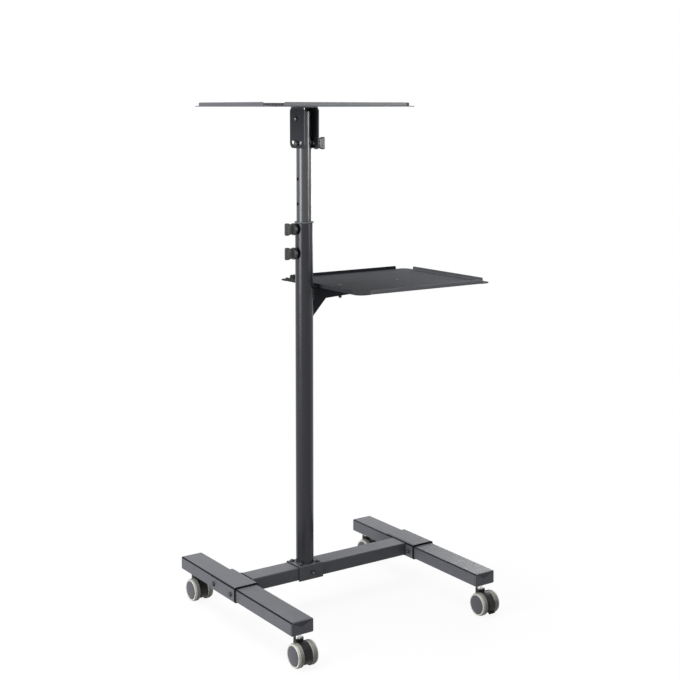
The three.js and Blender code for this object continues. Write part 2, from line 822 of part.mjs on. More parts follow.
// The arm of the lower tray: a tapered box, open at its tip, with a gusset welded under its root.
function trayArm() {
  const start = columnRadius + fitGap;
  const half = armWidth / 2;
  const outer = plateAlongY(armOutline(start, armReach, 0), -half, half);
  const hollow = plateAlongY(
    armOutline(start + armWall, armReach + cutOverrun, armWall),
    -half + armWall,
    half - armWall,
  );
  const corner = armUnderside(start);
  const triangle = new THREE.Shape();
  triangle.moveTo(start, corner + armWall / 2);
  triangle.lineTo(start, corner - gussetLeg);
  triangle.lineTo(start + gussetLeg, armUnderside(start + gussetLeg));
  triangle.lineTo(start + gussetLeg, armUnderside(start + gussetLeg) + armWall / 2);
  triangle.closePath();
  const gusset = plateAlongY(triangle, -gussetSheet / 2, gussetSheet / 2);
  const over = lowerTrayBottom + cutOverrun;
  const holes = Object.values(armBoltReaches).map((x) =>
    bar("z", armUnderside(x) - armWall, over, screwRadius + screwGap, [x, 0]),
  );
  return cut(join(cut(outer, hollow), gusset), ...holes);
}

// The rubber stop: a domed stud, its stem through the tray and the button that holds it.
function rubberStop() {
  const seat = traySheet + fitGap;
  const under = -fitGap;
  const domeStart = traySheet + stopHeight - stopRadius;
  return turned(
    "z",
    [
      [0, under - stopButtonHeight],
      [stopRadius, under - stopButtonHeight],
      [stopRadius, under],
      [stopStemRadius, under],
      [stopStemRadius, seat],
      [stopRadius, seat],
      [stopRadius, domeStart],
      [stopRadius * Math.cos(Math.PI / 6), domeStart + stopRadius * Math.sin(Math.PI / 6)],
      [stopRadius * Math.cos(Math.PI / 3), domeStart + stopRadius * Math.sin(Math.PI / 3)],
      [0, traySheet + stopHeight],
    ],
    boltSides,
  );
}

function stopPlace() {
  return [-trayLength / 2 + stopFromLeft, lowerTrayDepth / 2 - stopFromBack];
}

// A caster's stem: the bright ring in the cup, the collar and the lock nut under the leg, the
// shank and its nut in the tube.
function casterStem() {
  const ringLow = cupTop - stemRingDepth + fitGap;
  const ringTop = ringLow + stemRingHeight;
  const seat = legBottom - fitGap;
  const nutLow = legBottom + legWall + fitGap;
  const nutTop = nutLow + stemNutHeight;
  return join(
    bar("z", ringLow - stemDepth, nutTop + stemTail, stemRadius, [0, 0], wheelSides),
    bar("z", ringLow, ringTop, stemRingRadius, [0, 0], wheelSides),
    bar("z", ringTop - stemRingHeight / 2, seat, stemCollarRadius, [0, 0], wheelSides),
    bar("z", seat - stemLockNutHeight, seat, stemNutRadius, [0, 0], hexSides),
    bar("z", nutLow, nutTop, stemNutRadius, [0, 0], hexSides),
  );
}

// The place of a point round the axle, by its distance and its angle above the front.
function roundAxle(distance, angle) {
  return [-casterTrail - distance * Math.cos(angle), axleHeight + distance * Math.sin(angle)];
}

function pedalPivot() {
  return roundAxle(wheelRadius - hoodInset - pedalBarrelInset, pedalTopAngle);
}

// The hood between the wheels, with the swivel cup on its top and the axle through it.
function casterHood(hasPedal) {
  const half = wheelGap / 2 - hoodSideGap;
  const axlePlace = [-casterTrail, axleHeight];
  const drum = bar("x", -half, half, wheelRadius - hoodInset, axlePlace, wheelSides);
  const cup = bar("z", cupBottom, cupTop, cupRadius, [0, 0], wheelSides);
  const betweenWheels = block([-half, -cupRadius, axleHeight], [half, cupRadius, cupTop]);
  const neck = bar("z", axleHeight, cupTop, cupRadius, [0, 0], wheelSides);
  const axleHalf = wheelGap / 2 + wheelWidth - wheelCapSeat;
  const axle = bar("x", -axleHalf, axleHalf, axleRadius, axlePlace, wheelSides);
  const underDrum = block(
    [-half - cutOverrun, -casterTrail - wheelRadius, -cutOverrun],
    [half + cutOverrun, -casterTrail + wheelRadius, hoodFloorGap],
  );
  const whole = join(drum, neck.intersect(betweenWheels), cup, axle);
  const ringSeat = cupTop - stemRingDepth;
  const recessRadius = stemRingRadius + fitGap;
  const ringRecess = bar("z", ringSeat, cupTop + cutOverrun, recessRadius, [0, 0], wheelSides);
  const stemBore = bar("z", ringSeat - stemDepth, cupTop, stemRadius + runGap, [0, 0], wheelSides);
  const hollowed = cut(whole, underDrum, ringRecess, stemBore);
  if (!hasPedal) return hollowed;
  const pocketHalf = half - pedalCheek;
  const pocketRadius = pedalBarrelRadius + runGap;
  return cut(hollowed, bar("x", -pocketHalf, pocketHalf, pocketRadius, pedalPivot(), wheelSides));
}

// A brake pedal that curves down the front of the hood.
function brakePedal() {
  const half = wheelGap / 2 - hoodSideGap - pedalCheek - pedalSideGap;
  const inner = wheelRadius - hoodInset + pedalGap;
  const outer = inner + pedalThickness;
  const barrel = bar("x", -half, half, pedalBarrelRadius, pedalPivot(), wheelSides);
  const [start, end] = [Math.PI - pedalTopAngle, Math.PI - pedalLowAngle];
  const strip = new THREE.Shape();
  strip.absarc(-casterTrail, axleHeight, outer, start, end);
  strip.absarc(-casterTrail, axleHeight, inner, end, start, true);
  strip.closePath();
  const lipAngle = pedalLipThickness / outer;
  const lip = new THREE.Shape();
  lip.moveTo(...roundAxle(inner, pedalLowAngle));
  lip.lineTo(...roundAxle(outer + pedalLip, pedalLowAngle));
  lip.lineTo(...roundAxle(outer + pedalLip, pedalLowAngle + lipAngle));
  lip.lineTo(...roundAxle(inner, pedalLowAngle + lipAngle));
  lip.closePath();
  return join(barrel, plateAlongX(strip, -half, half, pedalSteps), plateAlongX(lip, -half, half));
}

// A wheel turned about X, its inner face at the hood and a recess for its cap outside.
function wheel() {
  const inner = wheelGap / 2;
  const outer = inner + wheelWidth;
  const bore = axleRadius + runGap;
  const shoulder = wheelRadius - wheelShoulder;
  const seat = outer - wheelCapSeat;
  return turned(
    "x",
    [
      [bore, inner],
      [wheelRadius - wheelRound, inner],
      [wheelRadius, inner + wheelRound],
      [wheelRadius, outer - wheelShoulderWidth],
      [shoulder, outer - wheelShoulderWidth + wheelShoulder / 2],
      [shoulder, outer - wheelRound / 2],
      [shoulder - wheelRound / 2, outer],
      [wheelCapRadius + fitGap, outer],
      [wheelCapRadius + fitGap, seat],
      [bore, seat],
      [bore, inner],
    ],
    wheelSides,
  );
}

function wheelCap() {
  const outer = wheelGap / 2 + wheelWidth;
  const seat = outer - wheelCapSeat + fitGap;
  const rim = outer - wheelCapEdge;
  const crown = wheelCapEdge + wheelCapCrown;
  return turned(
    "x",
    [
      [0, seat],
      [wheelCapRadius, seat],
      [wheelCapRadius, rim],
      [wheelCapRadius * Math.cos(Math.PI / 8), rim + crown * Math.sin(Math.PI / 8)],
      [wheelCapRadius * Math.cos(Math.PI / 4), rim + crown * Math.sin(Math.PI / 4)],
      [0, rim + crown],
    ],
    wheelSides,
  );
}

// Turns a wheel's facets so that one lies flat on the floor, then sets it on the axle.
function seatWheel(shape, side) {
  const halfFacet = 180 / wheelSides;
  const turn = side < 0 ? 180 : 0;
  const faced = shape.rotate([halfFacet, 0, 0]).rotate([0, 0, turn]);
  return faced.translate([0, -casterTrail, axleHeight]);
}

// One caster on its swivel axis: the whole group stands at a leg's end.
function caster(label, hasPedal) {
  const group = new THREE.Group();
  group.add(piece(`${label}_caster_stem`, casterStem(), zinc));
  group.add(piece(`${label}_caster_hood`, casterHood(hasPedal), plastic));
  for (const [hand, side] of Object.entries({ left: -1, right: 1 })) {
    group.add(piece(`${label}_caster_${hand}_wheel`, seatWheel(wheel(), side), tyreRubber));
    group.add(piece(`${label}_caster_${hand}_hub_cap`, seatWheel(wheelCap(), side), capPlastic));
  }
  if (hasPedal) group.add(piece(`${label}_brake_pedal`, brakePedal(), plastic));
  return group;
}

// The base: legs, caps, sleeves, beam, foot and casters.
function base() {
  const group = new THREE.Group();
  const legs = { left: -leftLegOffset, right: rightLegOffset };
  for (const [side, offset] of Object.entries(legs)) {
    group.add(piece(`${side}_leg`, leg(offset), steel));
    group.add(piece(`${side}_front_leg_cap`, legCap(offset, -legReachFront, -1), capPlastic));
    group.add(piece(`${side}_back_leg_cap`, legCap(offset, legReachBack, 1), capPlastic));
    group.add(piece(`${side}_sleeve`, sleeve(offset), steel));
    group.add(piece(`${side}_sleeve_front_bolt`, sleeveBolt(offset, -1), blackBolt));
    group.add(piece(`${side}_sleeve_back_bolt`, sleeveBolt(offset, 1), blackBolt));
    stemPlaces(offset).forEach(([x, y], i) => {
      const placed = caster(`${side}_${i ? "back" : "front"}`, side === "right");
      placed.position.set(x, y, 0);
      group.add(placed);
    });
  }
  group.add(piece("cross_beam", crossBeam(), steel));
  group.add(piece("foot_saddle", footSaddle(), steel));
  group.add(piece("foot_left_bolt_pair", footBoltPair(-1), blackBolt));
  group.add(piece("foot_right_bolt_pair", footBoltPair(1), blackBolt));
  group.add(piece("foot_side_bolt", footSideBolt(), blackBolt));
  return group;
}

// The column with its knobs, and the lower tray that stands out from it.
function columnAndLowerTray() {
  const group = new THREE.Group();
  group.add(piece("outer_column", outerColumn(), steel));
  group.add(piece("collar_bush", collarBush(), plastic));
  group.add(piece("upper_lock_knob", lockKnob(upperKnobHeight), plastic));
  group.add(piece("lower_lock_knob", lockKnob(lowerKnobHeight), plastic));
  group.add(piece("tray_arm", trayArm(), steel));
  const boltPlaces = Object.values(armBoltReaches).map((x) => [x - lowerTrayMiddle, 0]);
  const stopHole = { at: stopPlace(), radius: stopStemRadius + fitGap };
  const lowerTray = piece("lower_tray", tray(lowerTrayDepth, boltPlaces, [stopHole]), steel);
  lowerTray.position.set(lowerTrayMiddle, 0, lowerTrayBottom);
  group.add(lowerTray);
  for (const [order, x] of Object.entries(armBoltReaches)) {
    const underside = armUnderside(x - screwNutRadius);
    const screw = traySeatedScrew([x, 0], lowerTrayBottom + traySheet, underside);
    group.add(piece(`lower_tray_${order}_bolt`, screw, blackBolt));
  }
  const stop = piece("tray_stop", rubberStop(), plastic);
  const [stopX, stopY] = stopPlace();
  stop.position.set(lowerTrayMiddle + stopX, stopY, lowerTrayBottom);
  group.add(stop);
  return group;
}

// The sliding mast and the tilting upper tray on its top.
function mastAndUpperTray() {
  const group = new THREE.Group();
  group.add(piece("mast_tube", mastTube(), steel));
  group.add(piece("pivot_bolt", pivotBolt(), blackBolt));
  group.add(piece("clamp_bolt", clampBolt(), blackBolt));
  group.add(piece("clamp_knob", clampKnob(), plastic));
  group.add(piece("tilt_bracket", tiltBracket(), steel));
  const screwPlaces = [-1, 1].map(trayScrewPlace);
  const upperTray = piece("upper_tray", tray(upperTrayDepth, screwPlaces), steel);
  upperTray.position.set(0, 0, upperTrayBottom);
  group.add(upperTray);
  group.add(piece("upper_tray_front_screw", upperTrayScrew(-1), blackBolt));
  group.add(piece("upper_tray_back_screw", upperTrayScrew(1), blackBolt));
  return group;
}

const cart = new THREE.Group();
cart.add(base(), columnAndLowerTray(), mastAndUpperTray());

// The origin is the middle of the footprint, on the floor.
const bounds = new THREE.Box3().setFromObject(cart, true);
const footprint = bounds.getCenter(new THREE.Vector3());
cart.position.set(-footprint.x, -footprint.y, -bounds.min.z);

export default cart;
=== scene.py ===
"""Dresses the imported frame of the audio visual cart: detailed surfaces, finishes, studio and camera."""

import json
import math

import bmesh
import bpy
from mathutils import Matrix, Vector

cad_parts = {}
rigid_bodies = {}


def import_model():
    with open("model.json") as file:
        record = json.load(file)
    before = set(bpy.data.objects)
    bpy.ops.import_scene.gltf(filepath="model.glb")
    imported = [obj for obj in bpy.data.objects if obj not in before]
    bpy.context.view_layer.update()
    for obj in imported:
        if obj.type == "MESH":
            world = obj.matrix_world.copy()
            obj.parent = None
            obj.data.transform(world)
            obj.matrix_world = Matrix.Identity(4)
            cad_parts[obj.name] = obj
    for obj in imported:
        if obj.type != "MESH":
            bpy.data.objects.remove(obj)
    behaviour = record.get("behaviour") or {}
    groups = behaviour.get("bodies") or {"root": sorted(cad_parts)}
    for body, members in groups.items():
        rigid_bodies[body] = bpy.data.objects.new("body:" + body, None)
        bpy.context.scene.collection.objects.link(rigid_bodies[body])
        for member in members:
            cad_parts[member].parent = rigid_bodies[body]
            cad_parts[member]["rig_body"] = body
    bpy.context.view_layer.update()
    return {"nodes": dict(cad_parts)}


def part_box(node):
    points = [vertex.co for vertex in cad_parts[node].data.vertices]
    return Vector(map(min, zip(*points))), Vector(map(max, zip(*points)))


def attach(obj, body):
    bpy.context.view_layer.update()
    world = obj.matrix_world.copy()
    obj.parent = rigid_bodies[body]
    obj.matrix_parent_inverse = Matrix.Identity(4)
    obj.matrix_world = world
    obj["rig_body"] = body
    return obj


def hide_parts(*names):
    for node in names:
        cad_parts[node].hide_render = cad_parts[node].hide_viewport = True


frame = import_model()

# Lengths below are millimetres from the column's axis, with Z up from the floor.
bush_low, bush_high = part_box("collar_bush")
AXIS = Vector(((bush_low.x + bush_high.x) / 2, (bush_low.y + bush_high.y) / 2, 0))


def box(node):
    low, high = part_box(node)
    return (low - AXIS) * 1000, (high - AXIS) * 1000


def middle_of(low, high, axes):
    """The middle of a box on the given axes."""
    return tuple((getattr(low, axis) + getattr(high, axis)) / 2 for axis in axes)


def to_frame(point):
    return Vector(point) / 1000 + AXIS


# Fits and facets that many pieces share
FIT = 0.3  # gap between pieces that are fixed to each other
RUN_GAP = 0.1  # between a shaft and its bore
BITE = 1  # how far the parts of one piece reach into each other
OVERRUN = 1  # how far a cutting tool runs past what it cuts
CORNER_STEPS = 5

# Bolts with a button head
SHANK = 4
HEAD, HEAD_HEIGHT = 6.3, 4
HEX_SOCKET, HEX_DEPTH = 2.9, 1.2
NUT_HEIGHT, NUT_TAIL = 3.4, 0.6
TIP = 3.4

# Shapes: a list of points and a list of (corner numbers, paint number).


def place(axis, u, v, along):
    if axis == "x":
        return (along, u, v)
    if axis == "y":
        return (u, along, v)
    return (u, v, along)


def merge(*shapes):
    points, faces = [], []
    for more_points, more_faces in shapes:
        start = len(points)
        points += more_points
        faces += [(tuple(i + start for i in face), paint) for face, paint in more_faces]
    return points, faces


def painted(shape, number):
    points, faces = shape
    return points, [(face, number) for face, _ in faces]


def moved(shape, by=(0, 0, 0), mirror_x=False):
    points, faces = shape
    side = -1 if mirror_x else 1
    return [(side * x + by[0], y + by[1], z + by[2]) for x, y, z in points], faces


def skin(loops, paint=0, wrap=False, caps=False):
    """Faces between loops of points. A loop of one point is an apex.

    The paint is a number, or a function of the band and the side.
    """
    points = [tuple(p) for loop in loops for p in loop]
    starts, faces = [], []
    count = 0
    for loop in loops:
        starts.append(count)
        count += len(loop)
    colour = paint if callable(paint) else (lambda band, side: paint)
    bands = len(loops) if wrap else len(loops) - 1
    for band in range(bands):
        other = (band + 1) % len(loops)
        a, b = loops[band], loops[other]
        sides = max(len(a), len(b))
        for k in range(sides):
            n = (k + 1) % sides
            if len(a) == 1:
                corners = [starts[band], starts[other] + n, starts[other] + k]
            elif len(b) == 1:
                corners = [starts[band] + k, starts[band] + n, starts[other]]
            else:
                corners = [starts[band] + k, starts[band] + n, starts[other] + n, starts[other] + k]
            faces.append((tuple(corners), colour(band, k)))
    if caps:
        faces.append((tuple(range(len(loops[0]))), colour(0, -1)))
        faces.append((tuple(range(starts[-1], count)), colour(bands, -1)))
    return points, faces


def soften(points, radius, steps=5, closed=True):
    """An outline with round corners. The radius is one number, or one for each corner."""
    made = []
    last = len(points) - 1
    for i, point in enumerate(points):
        r = radius[i] if isinstance(radius, (list, tuple)) else radius
        here = Vector(point)
        if r <= 0 or (not closed and i in (0, last)):
            made.append(tuple(here))
            continue
        back = (Vector(points[i - 1]) - here).normalized()
        on = (Vector(points[(i + 1) % len(points)]) - here).normalized()
        half = back.angle(on) / 2
        hub = here + (back + on).normalized() * (r / math.sin(half))
        start = here + back * (r / math.tan(half)) - hub
        end = here + on * (r / math.tan(half)) - hub
        first = math.atan2(start.y, start.x)
        sweep = (math.atan2(end.y, end.x) - first + math.pi) % (2 * math.pi) - math.pi
        for k in range(steps + 1):
            angle = first + sweep * k / steps
            made.append((hub.x + r * math.cos(angle), hub.y + r * math.sin(angle)))
    return made


def round_rectangle(width, height, radius, middle=(0, 0)):
    x, y = width / 2, height / 2
    corners = [(x, y), (-x, y), (-x, -y), (x, -y)]
    return [(u + middle[0], v + middle[1]) for u, v in soften(corners, radius, CORNER_STEPS)]


def prism(axis, outline, low, high, paint=0):
    return skin([[place(axis, u, v, t) for u, v in outline] for t in (low, high)], paint, caps=True)


def polar(middle, radius, degrees):
    angle = math.radians(degrees)
    return (middle[0] + radius * math.cos(angle), middle[1] + radius * math.sin(angle))


def arc(middle, radius, start, end, steps):
    """Points round a middle, by angles in degrees."""
    return [polar(middle, radius, start + (end - start) * k / steps) for k in range(steps + 1)]


def circle(axis, radius, along, at, sides):
    turn = [2 * math.pi * k / sides for k in range(sides)]
    return [place(axis, at[0] + radius * math.cos(a), at[1] + radius * math.sin(a), along) for a in turn]


def turned(axis, profile, at=(0, 0), sides=64, paint=0):
    """A turned form. Its profile lists (radius, place along the axis).

    It is a ring if its profile ends where it starts.
    """
    wrap = profile[0] == profile[-1]
    used = profile[:-1] if wrap else profile
    loops = [[place(axis, *at, t)] if r < 1e-6 else circle(axis, r, t, at, sides) for r, t in used]
    return skin(loops, paint, wrap=wrap)


def rod(axis, radius, low, high, at=(0, 0), sides=24):
    return turned(axis, [(0, low), (radius, low), (radius, high), (0, high)], at, sides)


def hexagon(axis, radius, along, at, sides=36, most=None):
    """A loop round a hexagon, cut off by a circle where most is given."""
    made = []
    for k in range(sides):
        a = 2 * math.pi * k / sides
        reach = radius * math.cos(math.pi / 6) / math.cos(a % (math.pi / 3) - math.pi / 6)
        reach = min(reach, most) if most else reach
        made.append(place(axis, at[0] + reach * math.cos(a), at[1] + reach * math.sin(a), along))
    return made


def socket_head(axis, seat, way, at, radius=HEAD, height=HEAD_HEIGHT, socket=HEX_SOCKET):
    """A button head with a hexagon socket, whose floor and walls are paint 1, the painted highlight."""
    top = seat + way * height
    dome = [(radius * 0.97, 0), (radius, 0.08), (radius, 0.45), (radius * 0.93, 0.74),
            (radius * 0.78, 0.93), (socket * 1.35, 1), (socket * 1.12, 1)]
    loops = [[place(axis, *at, seat)]]
    loops += [circle(axis, r, seat + way * share * height, at, 36) for r, share in dome]
    loops.append(hexagon(axis, socket, top - way * 0.25, at))
    loops.append(hexagon(axis, socket, top - way * HEX_DEPTH, at))
    loops.append([place(axis, *at, top - way * HEX_DEPTH)])
    return skin(loops, lambda band, side: 1 if band > len(dome) else 0)


def nut(axis, low, high, radius, at):
    bite = (high - low) * 0.14
    loops = [[place(axis, *at, low)]]
    loops.append(hexagon(axis, radius, low, at, most=radius * 0.9))
    loops.append(hexagon(axis, radius, low + bite, at))
    loops.append(hexagon(axis, radius, high - bite, at))
    loops.append(hexagon(axis, radius, high, at, most=radius * 0.9))
    loops.append([place(axis, *at, high)])
    return skin(loops)


def thread(axis, low, high, radius, at, pitch=1.25):
    """A threaded shank with a chamfered tip at its high end."""
    turns = max(2, round(abs(high - low) / pitch))
    step = (high - low) / turns
    profile = [(0, low)]
    for k in range(turns):
        t = low + step * k
        profile += [(radius * 0.9, t), (radius, t + step * 0.5)]
    profile += [(radius * 0.8, high), (0, high)]
    return turned(axis, profile, at, 24)


def through_bolt(low, high, at):
    """A bolt along X with its head at the low end and its nut at the high end."""
    seat, nut_low, nut_high = low + HEAD_HEIGHT, high - NUT_TAIL - NUT_HEIGHT, high - NUT_TAIL
    return merge(
        socket_head("x", seat, -1, at),
        rod("x", SHANK, seat - BITE, nut_low + BITE, at),
        nut("x", nut_low, nut_high, HEAD, at),
        thread("x", nut_low, high, TIP, at),
    )


def bead(path, radius, pitch=2.4):
    """A weld bead along a path of points, with the ripples of its passes."""
    path = [Vector(p) for p in path]
    lengths = [(b - a).length for a, b in zip(path, path[1:])]
    steps = max(3, round(sum(lengths) / (pitch / 4)))
    loops = []
    for k in range(steps + 1):
        s, i = sum(lengths) * k / steps, 0
        travelled = s
        while i < len(lengths) - 1 and travelled > lengths[i]:
            travelled -= lengths[i]
            i += 1
        point = path[i].lerp(path[i + 1], min(1, travelled / lengths[i]))
        forward = (path[i + 1] - path[i]).normalized()
        across = forward.orthogonal().normalized()
        up = forward.cross(across)
        r = radius * (0.86 + 0.14 * math.sin(2 * math.pi * s / pitch))
        if k in (0, steps):
            r *= 0.5
        loops.append([point + (across * math.cos(a) + up * math.sin(a)) * r
                      for a in (2 * math.pi * j / 10 for j in range(10))])
    return skin(loops, caps=True)


def channel(half, low, high, sheet, tip, outer, inner):
    """The section of a sheet folded to a channel that is open below: radii at its tips and its bends."""
    inside = half - sheet
    corners = [(-half, low), (-half, high), (half, high), (half, low),
               (inside, low), (inside, high - sheet), (-inside, high - sheet), (-inside, low)]
    return soften(corners, [tip, outer, outer, tip, tip, inner, inner, tip], 4)


TUBE_WALL, TUBE_CORNER = 2, 3
TUBE_CHAMFER = 0.4


def tube(axis, low, high, width, height, middle, wall=TUBE_WALL, floor=TUBE_WALL, radius=TUBE_CORNER):
    """A rectangular tube. Its upper left corner and its ends are paint 1, and its sides paint 2. A dark look
    on paint 1 is a painted dark reflection along the corner and painted shade at the ends.
    """
    inset = 2 * TUBE_CHAMFER
    outer = round_rectangle(width, height, radius, middle)
    pulled = round_rectangle(width - inset, height - inset, radius - TUBE_CHAMFER, middle)
    inside = (middle[0], middle[1] + (floor - wall) / 2)
    inner = round_rectangle(width - 2 * wall, height - wall - floor, max(radius - wall, 0.8), inside)
    rings = [(outer, low + TUBE_CHAMFER), (outer, high - TUBE_CHAMFER), (pulled, high),
             (inner, high), (inner, low), (pulled, low)]
    # A wide corner carries the painted dark reflection only in the middle of its bend.
    painted_dark_line = range(CORNER_STEPS) if radius < 5 else (2, 3)

    def paint(band, side):
        corner, step = divmod(side, CORNER_STEPS + 1)
        if band in (1, 2, 4, 5) or (band == 0 and corner == 1 and step in painted_dark_line):
            return 1
        return 2 if band == 0 and corner in (1, 3) else 0

    return skin([[place(axis, u, v, t) for u, v in loop] for loop, t in rings], paint, wrap=True)


# Finishes


def finish(name, colour, roughness, metallic=0.0, shine=0.5, grain=(900, 0.08, 0.12), mottle=(12, 0.07),
           wear=None):
    """A procedural finish: broad mottling, fine grain that also gives the relief, and worn flecks.

    The grain is its scale, its contrast and its depth, the mottling its scale and its contrast, and the
    wear its scale, the noise level where it starts, its colour and its strength.
    """
    look = bpy.data.materials.new(name)
    look.use_nodes = True
    look.diffuse_color = (*colour, 1)
    nodes, links = look.node_tree.nodes, look.node_tree.links
    shader = nodes["Principled BSDF"]
    shader.inputs["Metallic"].default_value = metallic
    shader.inputs["Specular IOR Level"].default_value = shine
    where = nodes.new("ShaderNodeTexCoord")

    def noise(scale, detail, rough=0.6):
        made = nodes.new("ShaderNodeTexNoise")
        made.inputs["Scale"].default_value = scale
        made.inputs["Detail"].default_value = detail
        made.inputs["Roughness"].default_value = rough
        links.new(where.outputs["Object"], made.inputs["Vector"])
        return made.outputs["Fac"]

    def spread(value, low, high, to_low, to_high):
        made = nodes.new("ShaderNodeMapRange")
        for socket, number in zip(("From Min", "From Max", "To Min", "To Max"), (low, high, to_low, to_high)):
            made.inputs[socket].default_value = number
        links.new(value, made.inputs["Value"])
        return made.outputs["Result"]

    def mix(kind, factor, a, b):
        made = nodes.new("ShaderNodeMix")
        made.data_type = "RGBA"
        made.blend_type = kind
        for socket, value in ((made.inputs["Factor"], factor), (made.inputs[6], a), (made.inputs[7], b)):
            if isinstance(value, bpy.types.NodeSocket):
                links.new(value, socket)
            else:
                socket.default_value = value
        return made.outputs[2]

    grain_scale, grain_contrast, grain_depth = grain
    mottle_scale, mottle_contrast = mottle
    rough_spread = 0.06
    broad, fine = noise(mottle_scale, 4), noise(grain_scale, 3, 0.65)
    darker = (*(c * (1 - mottle_contrast) for c in colour), 1)
    lighter = (*(min(1, c * (1 + mottle_contrast)) for c in colour), 1)
    tone = mix("MIX", spread(broad, 0.3, 0.7, 0, 1), darker, lighter)
    tone = mix("MULTIPLY", 1.0, tone, spread(fine, 0.25, 0.75, 1 - grain_contrast, 1 + grain_contrast))
    rough = spread(fine, 0.25, 0.75, roughness - rough_spread, roughness + rough_spread)
    if wear:
        scale, start, worn, amount = wear
        flecks = spread(noise(scale, 6, 0.7), start, start + 0.08, 0, amount)
        tone = mix("MIX", flecks, tone, (*worn, 1))
    links.new(tone, shader.inputs["Base Color"])
    links.new(rough, shader.inputs["Roughness"])
    relief = nodes.new("ShaderNodeBump")
    relief.inputs["Strength"].default_value = grain_depth
    relief.inputs["Distance"].default_value = 0.0004
    links.new(fine, relief.inputs["Height"])
    links.new(relief.outputs["Normal"], shader.inputs["Normal"])
    return look


COAT = finish("powder_coat", (0.114, 0.117, 0.13), 0.44, shine=0.32, grain=(1100, 0.14, 0.32),
              wear=(75, 0.68, (0.25, 0.255, 0.27), 0.3))
# Darker copies of the powder coat for the column, its bosses and weld, and the mast: painted shade
COLUMN_PAINTED_SHADE_COAT = finish("powder_coat_column_painted_shade", (0.018, 0.019, 0.025), 0.27, shine=0.4, grain=(1100, 0.12, 0.2),
                     wear=(75, 0.7, (0.08, 0.081, 0.088), 0.3))
MAST_PAINTED_SHADE_COAT = finish("powder_coat_mast_painted_shade", (0.05, 0.052, 0.057), 0.27, shine=0.62, grain=(1100, 0.12, 0.18),
                   wear=(75, 0.7, (0.11, 0.112, 0.12), 0.3))
# A lighter copy of the powder coat: painted light
PAINTED_LIGHT_COAT = finish("powder_coat_painted_light", (0.21, 0.22, 0.235), 0.42, shine=0.4, grain=(1100, 0.12, 0.3),
                    wear=(80, 0.68, (0.32, 0.33, 0.35), 0.3))
# A near-black copy of the powder coat: a painted dark reflection along tube corners, and painted shade at
# ends and joints
PAINTED_DEEP_SHADE_COAT = finish("powder_coat_painted_deep_shade", (0.01, 0.0105, 0.012), 0.6, shine=0.08, grain=(1100, 0.2, 0.3))
# A dark copy of the powder coat: painted shade on the bracket and the arm, painted shadow on the lower tray
# and two of its lips, and a fainter painted dark reflection on the right leg
PAINTED_SHADE_COAT = finish("powder_coat_painted_shade", (0.038, 0.04, 0.046), 0.72, shine=0.06, grain=(1300, 0.2, 0.4),
                   wear=(60, 0.7, (0.1, 0.1, 0.11), 0.3))
CAP = finish("cap_plastic", (0.12, 0.121, 0.14), 0.42, shine=0.4, grain=(1500, 0.1, 0.22),
             wear=(90, 0.66, (0.2, 0.2, 0.215), 0.3))
# A darker copy of the cap plastic: painted shade on the caps' upper facets and in the hub caps' grooves
CAP_PAINTED_SHADE = finish("cap_plastic_painted_shade", (0.06, 0.059, 0.072), 0.5, shine=0.3, grain=(1500, 0.1, 0.22),
                   wear=(90, 0.66, (0.12, 0.12, 0.13), 0.3))
HUB = finish("hub_plastic", (0.074, 0.072, 0.088), 0.38, shine=0.42, grain=(1600, 0.08, 0.15),
             wear=(90, 0.66, (0.16, 0.16, 0.17), 0.3))
PLASTIC = finish("black_plastic", (0.012, 0.012, 0.013), 0.4, shine=0.3, grain=(1400, 0.15, 0.25),
                 wear=(80, 0.7, (0.05, 0.05, 0.05), 0.4))
KNOB = finish("knob_plastic", (0.034, 0.034, 0.037), 0.34, shine=0.5, grain=(1400, 0.12, 0.22),
              wear=(85, 0.68, (0.1, 0.1, 0.105), 0.35))
BUSH = finish("bush_plastic", (0.13, 0.135, 0.145), 0.4, shine=0.4, grain=(1400, 0.12, 0.22),
              wear=(85, 0.68, (0.2, 0.2, 0.21), 0.3))
ZINC = finish("zinc", (0.72, 0.73, 0.75), 0.28, metallic=1.0, grain=(700, 0.12, 0.12), mottle=(160, 0.1))
BOLT = finish("black_bolt", (0.022, 0.022, 0.026), 0.34, metallic=0.4, shine=0.5, grain=(1200, 0.2, 0.2),
              wear=(220, 0.62, (0.16, 0.16, 0.17), 0.5))
# A lighter steel in the bolts' sockets: a painted highlight in their centres
SOCKET_PAINTED_HIGHLIGHT = finish("socket_painted_highlight", (0.26, 0.26, 0.275), 0.5, metallic=1.0, grain=(900, 0.2, 0.2))
TYRE = finish("tyre_grey", (0.345, 0.35, 0.315), 0.62, shine=0.3, grain=(1000, 0.1, 0.3), mottle=(45, 0.1),
              wear=(55, 0.6, (0.17, 0.165, 0.15), 0.4))
SHOULDER = finish("tyre_shoulder", (0.7, 0.705, 0.62), 0.5, shine=0.35, grain=(1000, 0.08, 0.2),
                  mottle=(45, 0.08), wear=(60, 0.66, (0.3, 0.29, 0.25), 0.3))
RUBBER = finish("black_rubber", (0.014, 0.014, 0.014), 0.6, shine=0.35, grain=(900, 0.15, 0.3))

# Objects


